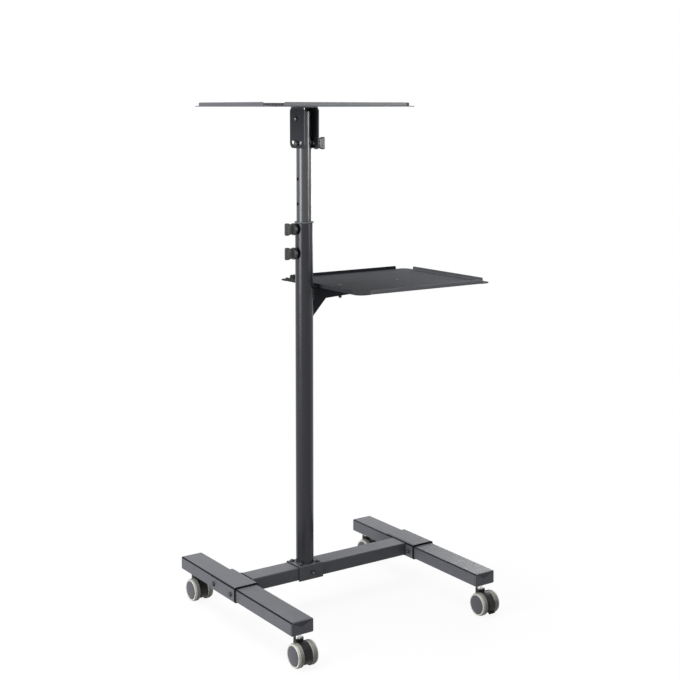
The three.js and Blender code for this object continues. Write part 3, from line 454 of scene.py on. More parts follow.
def mesh_object(name, shape, bevel=0.0, steps=2):
    points, faces = shape
    mesh = bpy.data.meshes.new(name)
    mesh.from_pydata([to_frame(p) for p in points], [], [face for face, _ in faces])
    for polygon, (_, paint) in zip(mesh.polygons, faces):
        polygon.material_index = paint
    work = bmesh.new()
    work.from_mesh(mesh)
    bmesh.ops.recalc_face_normals(work, faces=work.faces)
    if bevel:
        sharp = [e for e in work.edges if len(e.link_faces) == 2 and e.calc_face_angle(0) > math.radians(32)]
        bmesh.ops.bevel(work, geom=sharp, offset=bevel / 1000, offset_type="OFFSET", segments=steps,
                        profile=0.5, affect="EDGES", clamp_overlap=True, material=-1)
    work.to_mesh(mesh)
    work.free()
    made = bpy.data.objects.new(name, mesh)
    bpy.context.scene.collection.objects.link(made)
    return made


def carve(made, tool, operation="DIFFERENCE"):
    other = mesh_object(made.name + "_tool", tool)
    step = made.modifiers.new("carve", "BOOLEAN")
    step.operation = operation
    step.solver = "EXACT"
    step.object = other
    solved = bpy.data.meshes.new_from_object(made.evaluated_get(bpy.context.evaluated_depsgraph_get()))
    made.modifiers.clear()
    made.data = solved
    bpy.data.objects.remove(other)


def add(name, shape, looks, slot, nodes=(), body=None, bevel=0.0, steps=2, cuts=None, within=None, flat=(),
        even=True):
    """A piece in the frame. It stands for the given nodes, and rides with them or on the given body.

    Paint 0 takes the first look, and the paints in flat stay flat where the others are smooth.
    """
    made = mesh_object(name, shape, bevel, steps)
    for look in looks:
        made.data.materials.append(look)
    if within:
        carve(made, within, "INTERSECT")
    if cuts:
        carve(made, cuts)
    for polygon in made.data.polygons:
        polygon.use_smooth = polygon.material_index not in flat
    made.data.set_sharp_from_angle(angle=math.radians(32))
    if even:
        made.modifiers.new("normals", "WEIGHTED_NORMAL").keep_sharp = True
    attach(made, body or frame["nodes"][nodes[0]]["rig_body"])
    if nodes:
        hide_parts(*nodes)
    return made


def dress(node, shape, looks, slot, **more):
    return add(node + "_form", shape, looks, slot, nodes=[node], **more)


# Base: legs, caps, sleeves, beam and foot
SLEEVE_WALL, SLEEVE_FLOOR, SLEEVE_CORNER = 4.5, 2.5, 7.5
CAP_FLANGE = 3
CAP_EDGE = ((0.3, 0), (0, 0.3), (0, 2.2), (0.25, 2.75), (0.8, CAP_FLANGE))  # inset, and way out of the leg
CAP_RIM = 2.5
CAP_TIP = 0.3  # how far the sunk pyramid's tip stays out of the leg
BEAM_WELD_RISE = 0.6
FOOT_WALL = 2.6
FOOT_BOLTS_X, FOOT_BOLTS_Y = (-26.5, 26.5), (-20, 20)
STRAP_THICKNESS = 4


def leg_cap(width, height, middle, seat, way):
    """A leg's end cap with a sunk pyramid. Paints 1 and 2 are its facets, 2 the upper one in painted shade,
    and 3 is the painted dark reflection that carries on the leg's upper left corner.
    """

    def loop(inset, radius, reach):
        outline = round_rectangle(width - 2 * inset, height - 2 * inset, radius, middle)
        return [place("y", u, v, seat + way * reach) for u, v in outline]

    loops = [[place("y", *middle, seat)]]
    loops += [loop(inset, TUBE_CORNER - inset, reach) for inset, reach in CAP_EDGE]
    facets = len(loops) + 1
    loops.append(loop(CAP_RIM, 1, CAP_FLANGE))
    loops.append(loop(CAP_RIM + 0.1, 0.9, CAP_FLANGE - 0.25))
    loops.append([place("y", *middle, seat + way * CAP_TIP)])
    top_left = range(CORNER_STEPS + 1, 2 * CORNER_STEPS + 1)
    upper = range(3, CORNER_STEPS + 4)

    def paint(band, number):
        if band == facets:
            return 2 if number in upper else 1
        return 3 if number in top_left and band < len(CAP_EDGE) else 0

    return skin(loops, paint)


for side in ("left", "right"):
    low, high = box(f"{side}_leg")
    middle = middle_of(low, high, "xz")
    width, height = high.x - low.x, high.z - low.z
    # Paint 1 of each leg, on its upper left corner and its ends, is a painted dark reflection, fainter on the
    # right leg; paint 3 carries it over the caps
    painted_dark_line = PAINTED_DEEP_SHADE_COAT if side == "left" else PAINTED_SHADE_COAT
    leg = tube("y", low.y, high.y, width, height, middle)
    dress(f"{side}_leg", leg, [COAT, painted_dark_line, COAT], "powder_coat")
    for end, way, leg_end in (("front", -1, low.y), ("back", 1, high.y)):
        cap = leg_cap(width, height, middle, leg_end + way * FIT, way)
        dress(f"{side}_{end}_leg_cap", cap, [CAP, CAP, CAP_PAINTED_SHADE, painted_dark_line], "cap_plastic", flat=(1, 2))
    low, high = box(f"{side}_sleeve")
    sleeve = tube("y", low.y, high.y, high.x - low.x, high.z - low.z, middle_of(low, high, "xz"),
                  SLEEVE_WALL, SLEEVE_FLOOR, SLEEVE_CORNER)
    # The sleeve's ends and upper left corner are near-black: painted shade at the ends and a painted dark
    # reflection along the corner
    dress(f"{side}_sleeve", sleeve, [COAT, PAINTED_DEEP_SHADE_COAT, COAT], "powder_coat")
    for end in ("front", "back"):
        node = f"{side}_sleeve_{end}_bolt"
        low, high = box(node)
        bolt = through_bolt(low.x, high.x, middle_of(low, high, "yz"))
        dress(node, bolt, [BOLT, SOCKET_PAINTED_HIGHLIGHT], "black_bolt")

low, high = box("cross_beam")
beam_middle = middle_of(low, high, "yz")
beam_width, beam_height = high.y - low.y, high.z - low.z
beam = tube("x", low.x, high.x, beam_width, beam_height, beam_middle)
dress("cross_beam", beam, [COAT, COAT, COAT], "powder_coat")
weld_loop = round_rectangle(beam_width + 2 * BEAM_WELD_RISE, beam_height + 2 * BEAM_WELD_RISE,
                            TUBE_CORNER + BEAM_WELD_RISE, beam_middle)
# The welds where the beam meets the sleeves are near-black: painted shade in those joints
for side, x in (("left", low.x), ("right", high.x)):
    path = [(x, u, v) for u, v in [*weld_loop, weld_loop[0]]]
    add(f"{side}_beam_weld", bead(path, 1.1), [PAINTED_DEEP_SHADE_COAT], "powder_coat", body="base")

low, high = box("foot_saddle")
section = channel(high.y, low.z, high.z, FOOT_WALL, tip=0.5, outer=3.2, inner=0.7)
drills = merge(*(rod("z", SHANK + FIT, high.z - FOOT_WALL - OVERRUN, high.z + OVERRUN, (x, y), 32)
                 for x in FOOT_BOLTS_X for y in FOOT_BOLTS_Y))
# The saddle's end faces are near-black: painted shade at its edges
saddle = prism("x", section, low.x, high.x, lambda band, side: 1 if side < 0 else 0)
dress("foot_saddle", saddle, [COAT, PAINTED_DEEP_SHADE_COAT], "powder_coat", cuts=drills)
for label, x in zip(("left", "right"), FOOT_BOLTS_X):
    node = f"foot_{label}_bolt_pair"
    low, high = box(node)
    seat = high.z - HEAD_HEIGHT
    parts = []
    for y in FOOT_BOLTS_Y:
        parts.append(socket_head("z", seat, 1, (x, y)))
        parts.append(rod("z", SHANK, low.z + STRAP_THICKNESS / 2, seat + BITE, (x, y)))
    strap = round_rectangle(high.x - low.x, high.y - low.y, 1.5, (x, 0))
    parts.append(prism("z", strap, low.z, low.z + STRAP_THICKNESS))
    dress(node, merge(*parts), [BOLT, SOCKET_PAINTED_HIGHLIGHT], "black_bolt")
low, high = box("foot_side_bolt")
at = middle_of(low, high, "xz")
seat = low.y + HEAD_HEIGHT
bolt = merge(socket_head("y", seat, -1, at), thread("y", seat - BITE, high.y, SHANK, at))
dress("foot_side_bolt", bolt, [BOLT, SOCKET_PAINTED_HIGHLIGHT], "black_bolt")

# Column, bush and lock knobs
COLUMN, COLUMN_BORE = 23, 21.4
BUSH_BORE, BUSH_FLANGE = 19.6, 25
BOSS, BOSS_FACE = 7, 24.8  # the welded nuts of the lock screws
LOCK_SCREW_TIP, LOCK_SCREW_END = 19.8, 27

low, high = box("outer_column")
column_top = high.z
knob_heights = [middle_of(*box(f"{name}_lock_knob"), "z")[0] for name in ("lower", "upper")]
column = turned("z", [(COLUMN_BORE, low.z), (COLUMN, low.z), (COLUMN, high.z - 0.6), (COLUMN - 0.4, high.z),
                      (COLUMN_BORE, high.z), (COLUMN_BORE, low.z)], sides=96)
boss = [(0, BITE - COLUMN), (BOSS, BITE - COLUMN), (BOSS, 0.5 - BOSS_FACE), (BOSS - 0.5, -BOSS_FACE),
        (0, -BOSS_FACE)]
bosses = [turned("x", boss, (0, z), 48) for z in knob_heights]
# The column, its bosses and its foot weld are in a darker copy of the coat: painted shade
dress("outer_column", merge(column, *bosses), [COLUMN_PAINTED_SHADE_COAT], "powder_coat")
foot_weld = [(x, y, low.z + 1.3) for x, y in arc((0, 0), COLUMN + FIT, 0, 360, 72)]
add("column_foot_weld", bead(foot_weld, 1.6), [COLUMN_PAINTED_SHADE_COAT], "powder_coat", body="base")

low, high = box("collar_bush")
seat = column_top + FIT
spigot = COLUMN_BORE - FIT
bush = soften([(BUSH_BORE, low.z), (spigot, low.z), (spigot, seat), (BUSH_FLANGE - 1, seat),
               (BUSH_FLANGE, seat + 1), (BUSH_FLANGE, high.z), (BUSH_BORE, high.z)],
              [0, 0, 0, 0.5, 0.4, 0.9, 0.5], 3)
dress("collar_bush", turned("z", [*bush, bush[0]], sides=96), [BUSH], "black_plastic")

GRIP, GRIP_NECK, GRIP_BOSS, GRIP_BOSS_END = 32.5, 9, 15.5, 11.5
WING_START = 9.5
WING = ((0, 6.2, 21), (0.25, 4.4, 25.5), (0.55, 4.1, 31),
        (0.82, 4.5, 32), (0.94, 3.9, 31), (1, 2.4, 28))  # share of its length, half thickness, height


def grip():
    """The T-shaped grip, its seat at X = 0 and its axis along +X."""
    boss = soften([(0, 0), (GRIP_NECK, 0), (GRIP_NECK, 1.2), (GRIP_BOSS - 2, 2.5), (GRIP_BOSS, 4.4),
                   (GRIP_BOSS, GRIP_BOSS_END - 2), (GRIP_BOSS - 2.1, GRIP_BOSS_END), (0, GRIP_BOSS_END)],
                  [0, 0.5, 0.5, 0.8, 1.2, 1.4, 1.4, 0], 3, closed=False)
    wing = []
    for share, across, tall in WING:
        x = WING_START + (GRIP - WING_START) * share
        wing.append([(x, u, v) for u, v in round_rectangle(2 * across, tall, min(across * 0.9, 3.2))])
    return turned("x", boss, sides=48), skin(wing, caps=True)


lock_screw = [(0, -LOCK_SCREW_END), (SHANK, -LOCK_SCREW_END), (SHANK, -LOCK_SCREW_TIP - 0.5),
              (SHANK - 0.5, -LOCK_SCREW_TIP), (0, -LOCK_SCREW_TIP)]
for name, z in zip(("lower_lock_knob", "upper_lock_knob"), knob_heights):
    grips = [moved(part, (-BOSS_FACE - FIT, 0, z), mirror_x=True) for part in grip()]
    dress(name, merge(*grips, turned("x", lock_screw, (0, z), 24)), [KNOB], "black_plastic")

# Mast, bracket and clamp
MAST_WALL = 1.5
MAST_HOLE, MAST_HOLE_PITCH = 4.5, 64
MAST_HOLE_CUT = (-21, -9)  # across the wall towards -X
MAST_RINGS = 24  # that share out its height
EAR_SHEET, EAR_CORNER = 2.8, 14
EAR_NOTCH_WIDTH, EAR_NOTCH_HEIGHT = 4, 7
PIVOT_RISE = 74  # over the ears' lower edge
SLOT_REACH, SLOT_HALF_WIDTH, SLOT_SWING = 62, 4.6, 18.8
TRAY_SCREW_REACH = 22
SCREW_HOLE = 1.95
PAST_EARS = 23
SCREW_CUT = (5, 2)  # under and over the top of the bracket
CLAMP_HEAD, CLAMP_HEAD_HEIGHT, CLAMP_SOCKET = 8, 3.5, 3.2
SPACER, SPACER_LENGTH = 7, 8

low, high = box("mast_tube")
mast_radius = (high.y - low.y) / 2
rings = [low.z + (high.z - low.z) * k / MAST_RINGS for k in range(MAST_RINGS)]
mast_outer = [(mast_radius, z) for z in rings] + [(mast_radius, high.z - 0.5), (mast_radius - 0.4, high.z)]
mast_bore = mast_radius - MAST_WALL
mast = turned("z", [*mast_outer, (mast_bore, high.z), (mast_bore, low.z), (mast_radius, low.z)], sides=96)
hole_heights = [knob_heights[1] + MAST_HOLE_PITCH * k for k in (-2, -1, 0, 1, 2)]
holes = merge(*(rod("x", MAST_HOLE, *MAST_HOLE_CUT, (0, z), 32) for z in hole_heights))
# The mast is in a darker copy of the coat: painted shade
dress("mast_tube", mast, [MAST_PAINTED_SHADE_COAT], "powder_coat", cuts=holes, even=False)


def slot_outline(pivot):
    """The curved slot of an ear, round the pivot."""
    start, end = 270 - SLOT_SWING, 270 + SLOT_SWING
    far = arc(pivot, SLOT_REACH + SLOT_HALF_WIDTH, start, end, 14)
    near = arc(pivot, SLOT_REACH - SLOT_HALF_WIDTH, end, start, 14)
    first = arc(polar(pivot, SLOT_REACH, end), SLOT_HALF_WIDTH, end, end + 180, 10)
    second = arc(polar(pivot, SLOT_REACH, start), SLOT_HALF_WIDTH, start - 180, start, 10)
    return far + first[1:] + near[1:] + second[1:-1]


low, high = box("tilt_bracket")
top, foot, front, back = high.z, low.z, low.y, high.y
pivot = (0, foot + PIVOT_RISE)
clamp = (0, pivot[1] - SLOT_REACH)
notch = top - EAR_NOTCH_HEIGHT
ear = soften(
    [(front + EAR_NOTCH_WIDTH, top + OVERRUN), (front + EAR_NOTCH_WIDTH, notch), (front, notch),
     (front, foot), (back, foot), (back, notch), (back - EAR_NOTCH_WIDTH, notch),
     (back - EAR_NOTCH_WIDTH, top + OVERRUN)],
    [0, 1, 0.6, EAR_CORNER, EAR_CORNER, 0.6, 1, 0], 7)
tray_screws = [(0, (front + back) / 2 + way * TRAY_SCREW_REACH) for way in (-1, 1)]
reach = PAST_EARS + OVERRUN
tools = [prism("x", slot_outline(pivot), -reach, reach)]
tools.append(rod("x", SHANK + RUN_GAP, -reach, reach, pivot, 32))
tools += [rod("z", SCREW_HOLE, top - SCREW_CUT[0], top + SCREW_CUT[1], at) for at in tray_screws]
# Sides of the section in painted shade: the outer face towards -X, and all the inner faces
painted_shade_sides = (0, *range(12, 23))
section = channel(high.x, foot, top, EAR_SHEET, tip=0, outer=3.4, inner=0.8)
bent = prism("y", section, front, back, lambda band, side: 1 if side in painted_shade_sides else 0)
bracket = dress("tilt_bracket", bent, [COAT, PAINTED_SHADE_COAT], "powder_coat",
                within=prism("x", ear, -PAST_EARS, PAST_EARS), cuts=merge(*tools))
soft_edge = bracket.modifiers.new("edges", "BEVEL")
soft_edge.width = 0.0004  # metres
soft_edge.segments = 2
soft_edge.limit_method = "ANGLE"
soft_edge.angle_limit = math.radians(50)
bracket.modifiers.move(1, 0)

low, high = box("pivot_bolt")
# Its socket is zinc: a painted highlight in the bolt's centre
dress("pivot_bolt", through_bolt(low.x, high.x, pivot), [BOLT, ZINC], "black_bolt")
low, high = box("clamp_bolt")
seat = low.x + CLAMP_HEAD_HEIGHT
bolt = merge(
    socket_head("x", seat, -1, clamp, CLAMP_HEAD, CLAMP_HEAD_HEIGHT, CLAMP_SOCKET),
    turned("x", [(0, seat - 0.5), (SHANK, seat - 0.5), (SHANK, high.x - 0.6),
                 (SHANK - 0.6, high.x), (0, high.x)], clamp, 32),
)
dress("clamp_bolt", bolt, [BOLT, SOCKET_PAINTED_HIGHLIGHT], "black_bolt")
low, high = box("clamp_knob")
spacer_bore = SHANK + RUN_GAP
spacer = turned("x", [(spacer_bore, 0), (SPACER - 0.4, 0), (SPACER, 0.5), (SPACER, SPACER_LENGTH),
                      (spacer_bore, SPACER_LENGTH), (spacer_bore, 0)], sides=48)
grips = [moved(part, (low.x + SPACER_LENGTH - 0.5, *clamp)) for part in grip()]
dress("clamp_knob", merge(moved(spacer, (low.x, *clamp)), *grips), [KNOB], "black_plastic")

# Trays: folded sheet whose lips turn up over a bend
SHEET = 2
LIP_HEIGHT, LIP_INSET, LIP_END, LIP_BEND, LIP_ROOT = 10.5, 36.5, 3.5, 2.6, 5
LIP_SECTIONS = (0, 0.25, 0.6, 1.1, 1.8, 2.6, LIP_END)  # places from the end of a lip
PLATE_STEP = 4.5  # how far the plate stays back under a lip
TRAY_CORNER = 21.5
SCREW, SCREW_HEAD, SCREW_SOCKET, SCREW_PITCH = 1.75, 4, 1.45, 0.7
SCREW_SINK = 4.2
SCREW_DEPTH = 3  # of the thread's start under the sheet's face
SOCKET_DEPTH = 1.3
ARM_BOLTS = (("first", 112), ("second", 300))
ARM_NUT, ARM_NUT_LOW, ARM_NUT_HIGH = 4.75, 2, 7.5  # radius, and heights over the bolt's end
STOP, STOP_STEM, STOP_BUTTON = 5.2, 1.6, 2


def lip(length):
    """A lip along X on its own middle, its bend at Y = 0 and its outer face looking along +Y."""
    half = length / 2
    loops = []
    for x in [-half + s for s in LIP_SECTIONS] + [half - s for s in reversed(LIP_SECTIONS)]:
        s = min(x + half, half - x, LIP_END)
        crown = LIP_HEIGHT - LIP_END + math.sqrt(max(0, LIP_END**2 - (LIP_END - s) ** 2))
        pull = 0.35 * max(0, 1 - s / 0.6)
        section = soften(
            [(-LIP_ROOT, pull), (-pull, pull), (-pull, crown), (pull - SHEET, crown),
             (pull - SHEET, SHEET - pull), (-LIP_ROOT, SHEET - pull)],
            [0, LIP_BEND - pull, 0.6, 0.6, 1.2, 0], 4)
        loops.append([(x, u, v) for u, v in section])
    return skin(loops, caps=True)


def tray_shapes(low, high):
    """The plate of a tray and its four lips: back, front, left and right."""
    x, y = (high.x - low.x) / 2, (high.y - low.y) / 2
    middle = (*middle_of(low, high, "xy"), low.z)
    outline = []
    for quarter, (sx, sy) in enumerate(((1, 1), (-1, 1), (-1, -1), (1, -1))):
        hub = (sx * (x - TRAY_CORNER), sy * (y - TRAY_CORNER))
        round_off = arc(hub, TRAY_CORNER, 90 * quarter, 90 * quarter + 90, 12)
        across = [(sx * (x - PLATE_STEP), sy * (y - LIP_INSET)), (sx * x, sy * (y - LIP_INSET))]
        along = [(sx * (x - LIP_INSET), sy * y), (sx * (x - LIP_INSET), sy * (y - PLATE_STEP))]
        outline += across + round_off + along if sx * sy > 0 else along[::-1] + round_off + across[::-1]
    lips = []
    for turn, half, reach in ((0, x, y), (180, x, y), (90, y, x), (270, y, x)):
        points, faces = lip(2 * (half - LIP_INSET))
        c, s = math.cos(math.radians(turn)), math.sin(math.radians(turn))
        points = [(px * c - (py + reach) * s, px * s + (py + reach) * c, pz) for px, py, pz in points]
        lips.append(moved((points, faces), middle))
    return moved(prism("z", outline, 0, SHEET), middle), lips


def sunk_screw(at, top, end):
    """A countersunk screw down from the sheet's face, whose socket is paint 1, the painted highlight."""
    rims = ((SCREW, top - 3.2), (SCREW, top - 2), (SCREW_HEAD, top - 0.15), (SCREW_HEAD, top), (1.7, top))
    loops = [[place("z", *at, top - 3.2)]]
    loops += [circle("z", r, z, at, 36) for r, z in rims]
    loops += [hexagon("z", SCREW_SOCKET, z, at) for z in (top - 0.1, top - SOCKET_DEPTH)]
    loops.append([place("z", *at, top - SOCKET_DEPTH)])
    head = skin(loops, lambda band, side: 1 if band > len(rims) + 1 else 0)
    return merge(head, thread("z", top - SCREW_DEPTH, end, SCREW, at, SCREW_PITCH))


def add_tray(node, screws, plate_look, lip_looks, extra_holes=()):
    """Adds a tray with sunk screw holes, and gives the height of its floor."""
    low, high = box(node)
    plate, lips = tray_shapes(low, high)
    top = low.z + SHEET
    below, above = low.z - OVERRUN, top + OVERRUN
    sunk_hole = [(0, below), (SCREW_HOLE, below), (SCREW_HOLE, low.z), (SCREW_SINK, top),
                 (SCREW_SINK, above), (0, above)]
    tools = [turned("z", sunk_hole, at, 32) for at in screws]
    tools += [rod("z", r, below, above, at) for at, r in extra_holes]
    made = dress(node, plate, [plate_look], "powder_coat", bevel=0.35, cuts=merge(*tools))
    for label, shape, look in zip(("back", "front", "left", "right"), lips, lip_looks):
        add(f"{node}_{label}_lip", shape, [look], "powder_coat", body=made["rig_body"])
    return top


# The upper tray's front lip is in the lighter copy of the coat: painted light
upper_top = add_tray("upper_tray", tray_screws, COAT, [COAT, PAINTED_LIGHT_COAT, COAT, COAT])
for end, at in zip(("front", "back"), tray_screws):
    node = f"upper_tray_{end}_screw"
    dress(node, sunk_screw(at, upper_top, box(node)[0].z), [BOLT, SOCKET_PAINTED_HIGHLIGHT], "black_bolt")

stop_low, stop_high = box("tray_stop")
stop_at = middle_of(stop_low, stop_high, "xy")
# The lower tray's plate and its back and left lips are in the dark copy of the coat: painted shadow
lower_top = add_tray("lower_tray", [(x, 0) for _, x in ARM_BOLTS], PAINTED_SHADE_COAT,
                     [PAINTED_SHADE_COAT, COAT, PAINTED_SHADE_COAT, COAT], [(stop_at, STOP_STEM + FIT)])
for order, x in ARM_BOLTS:
    node = f"lower_tray_{order}_bolt"
    end = box(node)[0].z
    shape = merge(sunk_screw((x, 0), lower_top, end),
                  nut("z", end + ARM_NUT_LOW, end + ARM_NUT_HIGH, ARM_NUT, (x, 0)))
    dress(node, shape, [BOLT, SOCKET_PAINTED_HIGHLIGHT], "black_bolt")
button, seat = stop_low.z + STOP_BUTTON, lower_top + FIT
stop = soften([(0, stop_low.z), (STOP, stop_low.z), (STOP, button), (STOP_STEM, button), (STOP_STEM, seat),
               (STOP, seat), (STOP, stop_high.z), (0, stop_high.z)],
              [0, 0.5, 0.4, 0, 0, 0.5, 4.2, 0], 6, closed=False)
dress("tray_stop", turned("z", stop, stop_at, 48), [RUBBER], "black_plastic")

# Arm of the lower tray
ARM_REACH, ARM_ROOT, ARM_TIP = 330, 30, 14
ARM_HALF_WIDTH, ARM_WALL = 10, 2
ARM_WELD_OUT = 9.6
GUSSET, GUSSET_HALF = 43, 2

low, high = box("tray_arm")
arm_top = high.z


def arm_under(x):
    return arm_top - ARM_ROOT + (ARM_ROOT - ARM_TIP) * (x - COLUMN) / (ARM_REACH - COLUMN)


arm_side = [(low.x, arm_top), (low.x, arm_under(low.x)), (high.x, arm_under(high.x)), (high.x, arm_top)]
inner, outer = low.x + ARM_WALL, high.x + OVERRUN
hollow = [(inner, arm_top - ARM_WALL), (inner, arm_under(inner) + ARM_WALL),
          (outer, arm_under(outer) + ARM_WALL), (outer, arm_top - ARM_WALL)]
room = ARM_HALF_WIDTH - ARM_WALL
# The arm, its gusset and the tab are in the dark copy of the coat: painted shade under the lower tray
dress("tray_arm", prism("y", arm_side, -ARM_HALF_WIDTH, ARM_HALF_WIDTH), [PAINTED_SHADE_COAT], "powder_coat",
      bevel=1.4, steps=3, cuts=prism("y", hollow, -room, room))
root = arm_under(low.x)
gusset_end = low.x + GUSSET
gusset = [(low.x, root + BITE), (low.x, root - GUSSET), (low.x + 3, root - GUSSET),
          (gusset_end, arm_under(gusset_end) - 1.5), (gusset_end, arm_under(gusset_end) + BITE)]
add("arm_gusset", prism("y", gusset, -GUSSET_HALF, GUSSET_HALF), [PAINTED_SHADE_COAT], "powder_coat", body="base",
    bevel=0.5)
weld_end = gusset_end - 2
welds = [bead([(COLUMN - 0.6, y, root + 1), (COLUMN - 0.6, y, arm_top - 1)], 1.5)
         for y in (-ARM_WELD_OUT, ARM_WELD_OUT)]
welds += [bead([(COLUMN + 0.2, y, root - GUSSET + 1), (COLUMN + 0.2, y, root),
                (weld_end, y, arm_under(weld_end))], 1.2) for y in (-GUSSET_HALF - FIT, GUSSET_HALF + FIT)]
add("arm_weld", merge(*welds), [COAT], "powder_coat", body="base")
# A small plate that closes the gap between the column and the tray
TAB_WIDTH, TAB_TOP = 18, 3.6
tray_edge = box("lower_tray")[0].x
tab = round_rectangle(tray_edge - COLUMN - 1, TAB_WIDTH, 2, ((tray_edge + COLUMN + 0.2) / 2, 0))
add("arm_top_tab", prism("z", tab, arm_top + 0.1, arm_top + TAB_TOP), [PAINTED_SHADE_COAT], "powder_coat", body="base",
    bevel=0.6)

# Casters
wheel_low, wheel_high = box("left_front_caster_left_wheel")
hood_low, hood_high = box("left_front_caster_hood")
AXLE_Z = (wheel_low.z + wheel_high.z) / 2
TRAIL = 17.8  # of the axle behind the stem
AXLE = (-TRAIL, AXLE_Z)
AXLE_RADIUS, AXLE_HALF = 4, 24
AXLE_BORE = AXLE_RADIUS + RUN_GAP
WHEEL = AXLE_Z - 0.005  # just clear of the floor
WHEEL_INNER, WHEEL_OUTER = 11.7, 26.7
WHEEL_RECESS, RECESS_DEPTH = 23.8, 2.5
TYRE_SHOULDER = 27.3
HUB_CAP, HUB_DOME, HUB_RISE = 23.5, 22.8, 1.78
DRUM, DRUM_HALF = 27.5, 11.2
HOOD_FLAT = math.degrees(math.asin((AXLE_Z - hood_low.z) / DRUM))  # angle of the flat under the drum
CUP, CUP_TOP = 12.3, hood_high.z
CUP_LOW = CUP_TOP - 3.4
CUP_BORE_DEPTH = 20
CUP_RECESS, CUP_RECESS_DEPTH = 9.8, 1.2
STEM, STEM_PITCH, STEM_BORE = 5, 1.5, 5.2
STEM_RING, STEM_COLLAR, STEM_SLEEVE = 9.5, 6.5, 4.9
STEM_IN_LEG = 11.6
STEM_NUT, LOCK_NUT_HEIGHT = 8.5, 3.5
LEG_NUT = (9, 3)  # its lower and upper face, down from the stem's top
RIB = 0.9
PEDAL_HALF, PEDAL_BARREL = 9.2, 3.5
PEDAL_POCKET_HALF = 9.8


def round_axle(radius, angle):
    """A point round the axle, by the angle in degrees over its front."""
    return polar(AXLE, radius, 180 - angle)


def wheel_shape(side):
    """A wheel with its tyre (paint 0), the tyre's shoulder (1) and the hub (2)."""
    web = WHEEL_INNER + 1.5
    floor = WHEEL_OUTER - RECESS_DEPTH
    profile = soften(
        [(AXLE_BORE, web), (22, web), (23, WHEEL_INNER), (WHEEL, WHEEL_INNER), (WHEEL, WHEEL_OUTER - 5),
         (TYRE_SHOULDER, WHEEL_OUTER - 3.6), (TYRE_SHOULDER, WHEEL_OUTER), (WHEEL_RECESS, WHEEL_OUTER),
         (WHEEL_RECESS, floor), (AXLE_BORE, floor)],
        [0, 0.4, 0.4, 1.6, 0.9, 0.5, 1.0, 0.4, 0, 0], 4)

    def paint(band, _):
        a, b = profile[band], profile[(band + 1) % len(profile)]
        if min(a[0], b[0]) > WHEEL_RECESS - 0.3 and min(a[1], b[1]) > WHEEL_OUTER - 4.4:
            return 1
        return 0 if max(a[0], b[0]) > WHEEL_RECESS + 0.1 else 2

    return moved(turned("x", [*profile, profile[0]], AXLE, 96, paint), mirror_x=side < 0)


def hub_cap(side):
    """A domed cap, whose rim and the groove inside it are paint 1, in painted shade."""
    quarter = [math.pi / 2 * k / 10 for k in range(10)]
    dome = [(HUB_DOME * math.cos(a), WHEEL_OUTER - 0.4 + HUB_RISE * math.sin(a)) for a in quarter]
    back = WHEEL_OUTER - 2.2
    rim = [(HUB_CAP, WHEEL_OUTER - 0.75), (HUB_CAP - 0.2, WHEEL_OUTER - 0.5),
           (HUB_CAP - 0.5, WHEEL_OUTER - 0.62)]
    profile = [(0, back), (HUB_CAP, back), *rim, *dome, (0, WHEEL_OUTER - 0.4 + HUB_RISE)]
    shape = turned("x", profile, AXLE, 96, lambda band, side: 1 if band in (2, 3, 4) else 0)
    return moved(shape, mirror_x=side < 0)


def hood_shapes(has_pedal):
    """The drum between the wheels, and the neck and cup that join it to the stem."""
    turns = [*range(84, int(180 + HOOD_FLAT), 6), 180 + HOOD_FLAT, 360 - HOOD_FLAT, *range(324, 439, 6)]
    shell = prism("x", [polar(AXLE, DRUM, a) for a in turns], -DRUM_HALF, DRUM_HALF)
    cheek = math.degrees(math.acos(DRUM_HALF / CUP))
    outline = (arc((0, 0), CUP - 0.1, cheek, 180 - cheek, 20)
               + arc((0, 0), CUP - 0.1, 180 + cheek, 360 - cheek, 20))
    neck = prism("z", outline, AXLE_Z - AXLE_RADIUS, CUP_LOW + BITE)
    recess = CUP_TOP - CUP_RECESS_DEPTH
    cup = soften([(0, CUP_LOW), (CUP, CUP_LOW), (CUP, CUP_TOP), (CUP_RECESS, CUP_TOP), (CUP_RECESS, recess),
                  (STEM_BORE, recess), (STEM_BORE, CUP_TOP - CUP_BORE_DEPTH)],
                 [0, 0.6, 0.6, 0.3, 0, 0, 0], 3, closed=False)
    axle = turned("x", [(AXLE_RADIUS, -AXLE_HALF), (AXLE_RADIUS, AXLE_HALF)], AXLE, 32)
    rib = [(0, -8), (RIB, -7.6), (RIB, 7.6), (0, 8)]
    ribs = [] if has_pedal else [turned("x", rib, round_axle(DRUM, a), 12) for a in range(-8, 45, 10)]
    return shell, merge(neck, turned("z", cup, sides=64), axle, *ribs)


def stem_shape(low, high):
    """The threaded stem with its ring, its collar, a lock nut under the leg in the black finish as painted
    shade, and a nut in the leg.
    """
    under_leg = high - STEM_IN_LEG
    nut_low = under_leg - LOCK_NUT_HEIGHT
    seat, ring_top = CUP_TOP - 0.9, CUP_TOP + 1.7
    ring = soften([(STEM_SLEEVE, seat), (STEM_RING, seat), (STEM_RING, ring_top), (STEM_COLLAR, ring_top),
                   (STEM_COLLAR, under_leg - 3), (STEM_SLEEVE, under_leg - 3)], [0, 0.4, 0.6, 0.5, 0, 0], 3)
    return merge(
        turned("z", [*ring, ring[0]], sides=48),
        thread("z", low, high, STEM, (0, 0), STEM_PITCH),
        painted(nut("z", nut_low, under_leg, STEM_NUT, (0, 0)), 1),
        nut("z", high - LEG_NUT[0], high - LEG_NUT[1], STEM_NUT, (0, 0)),
    )


PEDAL_PIVOT = round_axle(DRUM - 2, 25)


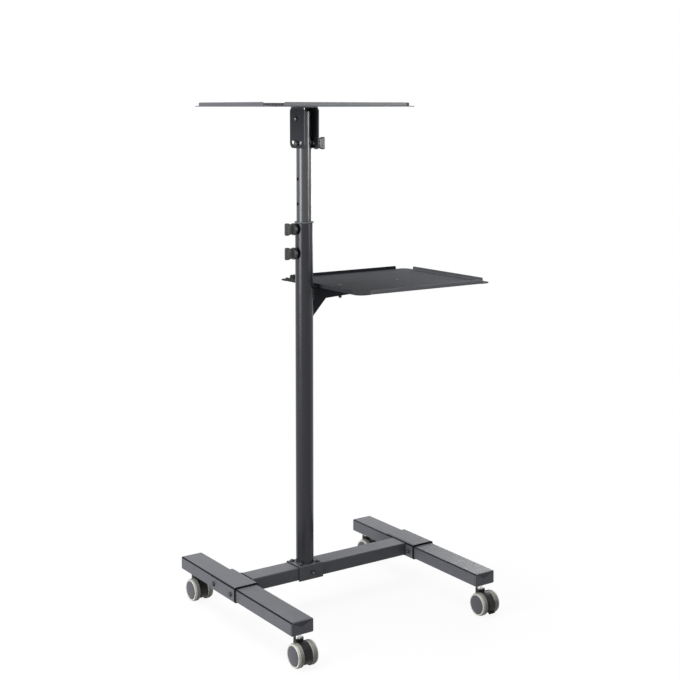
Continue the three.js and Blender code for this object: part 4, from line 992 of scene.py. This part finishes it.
def pedal_shape():
    """A brake pedal that curves down the front of the drum, with grip ribs and a lip at its end."""
    half = PEDAL_HALF
    inner, outer, end = DRUM + 1.2, DRUM + 3, DRUM + 8
    pad = arc(AXLE, outer, 155, 215, 14) + arc(AXLE, inner, 215, 155, 14)
    barrel = [(0, -half), (PEDAL_BARREL - 0.4, -half), (PEDAL_BARREL, 0.4 - half), (PEDAL_BARREL, half - 0.4),
              (PEDAL_BARREL - 0.4, half), (0, half)]
    tongue = [round_axle(r, angle) for r, angle in (
        (inner, -35), (end - 0.4, -35), (end, -34), (end, -30.5), (end - 0.4, -29.5), (inner, -29.5))]
    rib = [(0, 1 - half), (RIB, 1.5 - half), (RIB, half - 1.5), (0, half - 1)]
    return merge(
        prism("x", pad, -half, half),
        turned("x", barrel, PEDAL_PIVOT, 32),
        prism("x", tongue, -half, half),
        *(turned("x", rib, round_axle(outer - 0.35, angle), 12) for angle in range(-24, 22, 6)),
    )


for label in ("left_front", "left_back", "right_front", "right_back"):
    low, high = box(f"{label}_caster_stem")
    offset = (*middle_of(low, high, "xy"), 0)
    has_pedal = label.startswith("right")
    dress(f"{label}_caster_stem", moved(stem_shape(low.z, high.z), offset), [ZINC, BOLT], "zinc")
    shell, rest = hood_shapes(has_pedal)
    pocket = None
    if has_pedal:
        pocket = rod("x", PEDAL_BARREL + RUN_GAP, -PEDAL_POCKET_HALF, PEDAL_POCKET_HALF, PEDAL_PIVOT, 32)
        pocket = moved(pocket, offset)
    hood = dress(f"{label}_caster_hood", moved(shell, offset), [PLASTIC], "black_plastic",
                 bevel=1.5, steps=3, cuts=pocket)
    add(f"{label}_caster_cup", moved(rest, offset), [PLASTIC], "black_plastic", body=hood["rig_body"])
    for hand, side in (("left", -1), ("right", 1)):
        node = f"{label}_caster_{hand}"
        dress(f"{node}_wheel", moved(wheel_shape(side), offset), [TYRE, SHOULDER, PLASTIC], "tyre_grey")
        dress(f"{node}_hub_cap", moved(hub_cap(side), offset), [HUB, CAP_PAINTED_SHADE], "cap_plastic")
    if has_pedal:
        dress(f"{label}_brake_pedal", moved(pedal_shape(), offset), [PLASTIC], "black_plastic", bevel=0.3)

# Studio, in metres: a pale floor that keeps the shadow, a white background and four soft lamps
FLOOR_REACH = 30
FLOOR_WHITE = (0.5, 2.2)  # the floor goes to white between these distances from the cart
FLOOR_SHARE = 0.92  # of white in the floor's own colour, near the cart


def white_behind(nodes, links):
    """1 on rays that show the background, and 0 on the rays that light things."""
    path = nodes.new("ShaderNodeLightPath")
    total = path.outputs["Is Camera Ray"]
    for output in ("Is Glossy Ray", "Is Transmission Ray"):
        larger = nodes.new("ShaderNodeMath")
        larger.operation = "MAXIMUM"
        links.new(total, larger.inputs[0])
        links.new(path.outputs[output], larger.inputs[1])
        total = larger.outputs[0]
    return total


def mixed(nodes, links, factor, first, second):
    """A shader that is the first where the factor is 0, and the second where it is 1."""
    made = nodes.new("ShaderNodeMixShader")
    links.new(factor, made.inputs["Fac"])
    links.new(first.outputs[0], made.inputs[1])
    links.new(second.outputs[0], made.inputs[2])
    return made


world = bpy.data.worlds.new("studio")
bpy.context.scene.world = world
world.use_nodes = True
nodes, links = world.node_tree.nodes, world.node_tree.links
ambient = nodes["Background"]
ambient.inputs["Color"].default_value = (0.9, 0.95, 1, 1)
ambient.inputs["Strength"].default_value = 0.12
white = nodes.new("ShaderNodeBackground")
white.inputs["Color"].default_value = (1, 1, 1, 1)
white.inputs["Strength"].default_value = 1
shown = mixed(nodes, links, white_behind(nodes, links), ambient, white)
links.new(shown.outputs[0], nodes["World Output"].inputs["Surface"])

floor_look = bpy.data.materials.new("pale_floor")
floor_look.use_nodes = True
nodes, links = floor_look.node_tree.nodes, floor_look.node_tree.links
shader = nodes["Principled BSDF"]
shader.inputs["Base Color"].default_value = (0.95, 0.95, 0.95, 1)
shader.inputs["Roughness"].default_value = 0.7
shader.inputs["Specular IOR Level"].default_value = 0.2
paper = nodes.new("ShaderNodeEmission")
dim = nodes.new("ShaderNodeBsdfDiffuse")
dim.inputs["Color"].default_value = (0.3, 0.3, 0.3, 1)
spot = nodes.new("ShaderNodeTexCoord")
away = nodes.new("ShaderNodeVectorMath")
away.operation = "LENGTH"
links.new(spot.outputs["Object"], away.inputs[0])
fade = nodes.new("ShaderNodeMapRange")
fade.interpolation_type = "SMOOTHSTEP"
fade.inputs["From Min"].default_value = FLOOR_WHITE[0]
fade.inputs["From Max"].default_value = FLOOR_WHITE[1]
fade.inputs["To Min"].default_value = FLOOR_SHARE
fade.inputs["To Max"].default_value = 1
links.new(away.outputs["Value"], fade.inputs["Value"])
share = nodes.new("ShaderNodeMath")
share.operation = "MULTIPLY"
behind = white_behind(nodes, links)
links.new(behind, share.inputs[0])
links.new(fade.outputs["Result"], share.inputs[1])
pale = mixed(nodes, links, share.outputs[0], shader, paper)
seen = mixed(nodes, links, behind, dim, pale)
links.new(seen.outputs[0], nodes["Material Output"].inputs["Surface"])

floor_mesh = bpy.data.meshes.new("floor")
floor_corners = [(x * FLOOR_REACH, y * FLOOR_REACH, 0) for x, y in ((-1, -1), (1, -1), (1, 1), (-1, 1))]
floor_mesh.from_pydata(floor_corners, [], [(0, 1, 2, 3)])
floor_mesh.materials.append(floor_look)
floor = bpy.data.objects.new("floor", floor_mesh)
bpy.context.scene.collection.objects.link(floor)


def lamp(name, kind, power, where, aim, colour=(1, 1, 1), **more):
    """A lamp that looks at the aim. Other values go to its data under their own names."""
    data = bpy.data.lights.new(name, kind)
    data.energy = power
    data.color = colour
    for key, value in more.items():
        setattr(data, key, value)
    made = bpy.data.objects.new(name, data)
    bpy.context.scene.collection.objects.link(made)
    made.location = where
    made.rotation_euler = (Vector(aim) - Vector(where)).to_track_quat("-Z", "Y").to_euler()


lamp("soft_sun", "SUN", 2.4, (-0.5, 0.8, 4), (0, 0, 0), angle=math.radians(40))
lamp("left_panel", "AREA", 84, (-3.1, -0.15, 1.35), (0, 0, 1.0), colour=(0.97, 0.985, 1),
     shape="RECTANGLE", size=1.5, size_y=1.8)
lamp("front_spot", "SPOT", 260, (2.0, -2.3, 1.5), (-0.1, 0.06, 1.35),
     shadow_soft_size=0.6, spot_size=math.radians(24), spot_blend=1)
lamp("right_panel", "AREA", 48, (3.0, 1.9, 1.5), (0, 0, 0.7), shape="RECTANGLE", size=1.6, size_y=2.0)

# Camera, at the photograph's viewing angle. Its place is in millimetres from the column's axis.
CAMERA_PLACE = (-1798.0, -2785.2, 1294.95)
CAMERA_TILT, CAMERA_TURN = 85.178, -34.459

camera_data = bpy.data.cameras.new("photo_camera")
camera_data.lens = 68.687
camera_data.sensor_width = 36
camera_data.shift_x = -0.000735
camera_data.shift_y = -0.17853
camera = bpy.data.objects.new("photo_camera", camera_data)
bpy.context.scene.collection.objects.link(camera)
camera.location = to_frame(CAMERA_PLACE)
camera.rotation_euler = (math.radians(CAMERA_TILT), 0, math.radians(CAMERA_TURN))
bpy.context.scene.camera = camera
bpy.context.scene.view_settings.view_transform = "Standard"
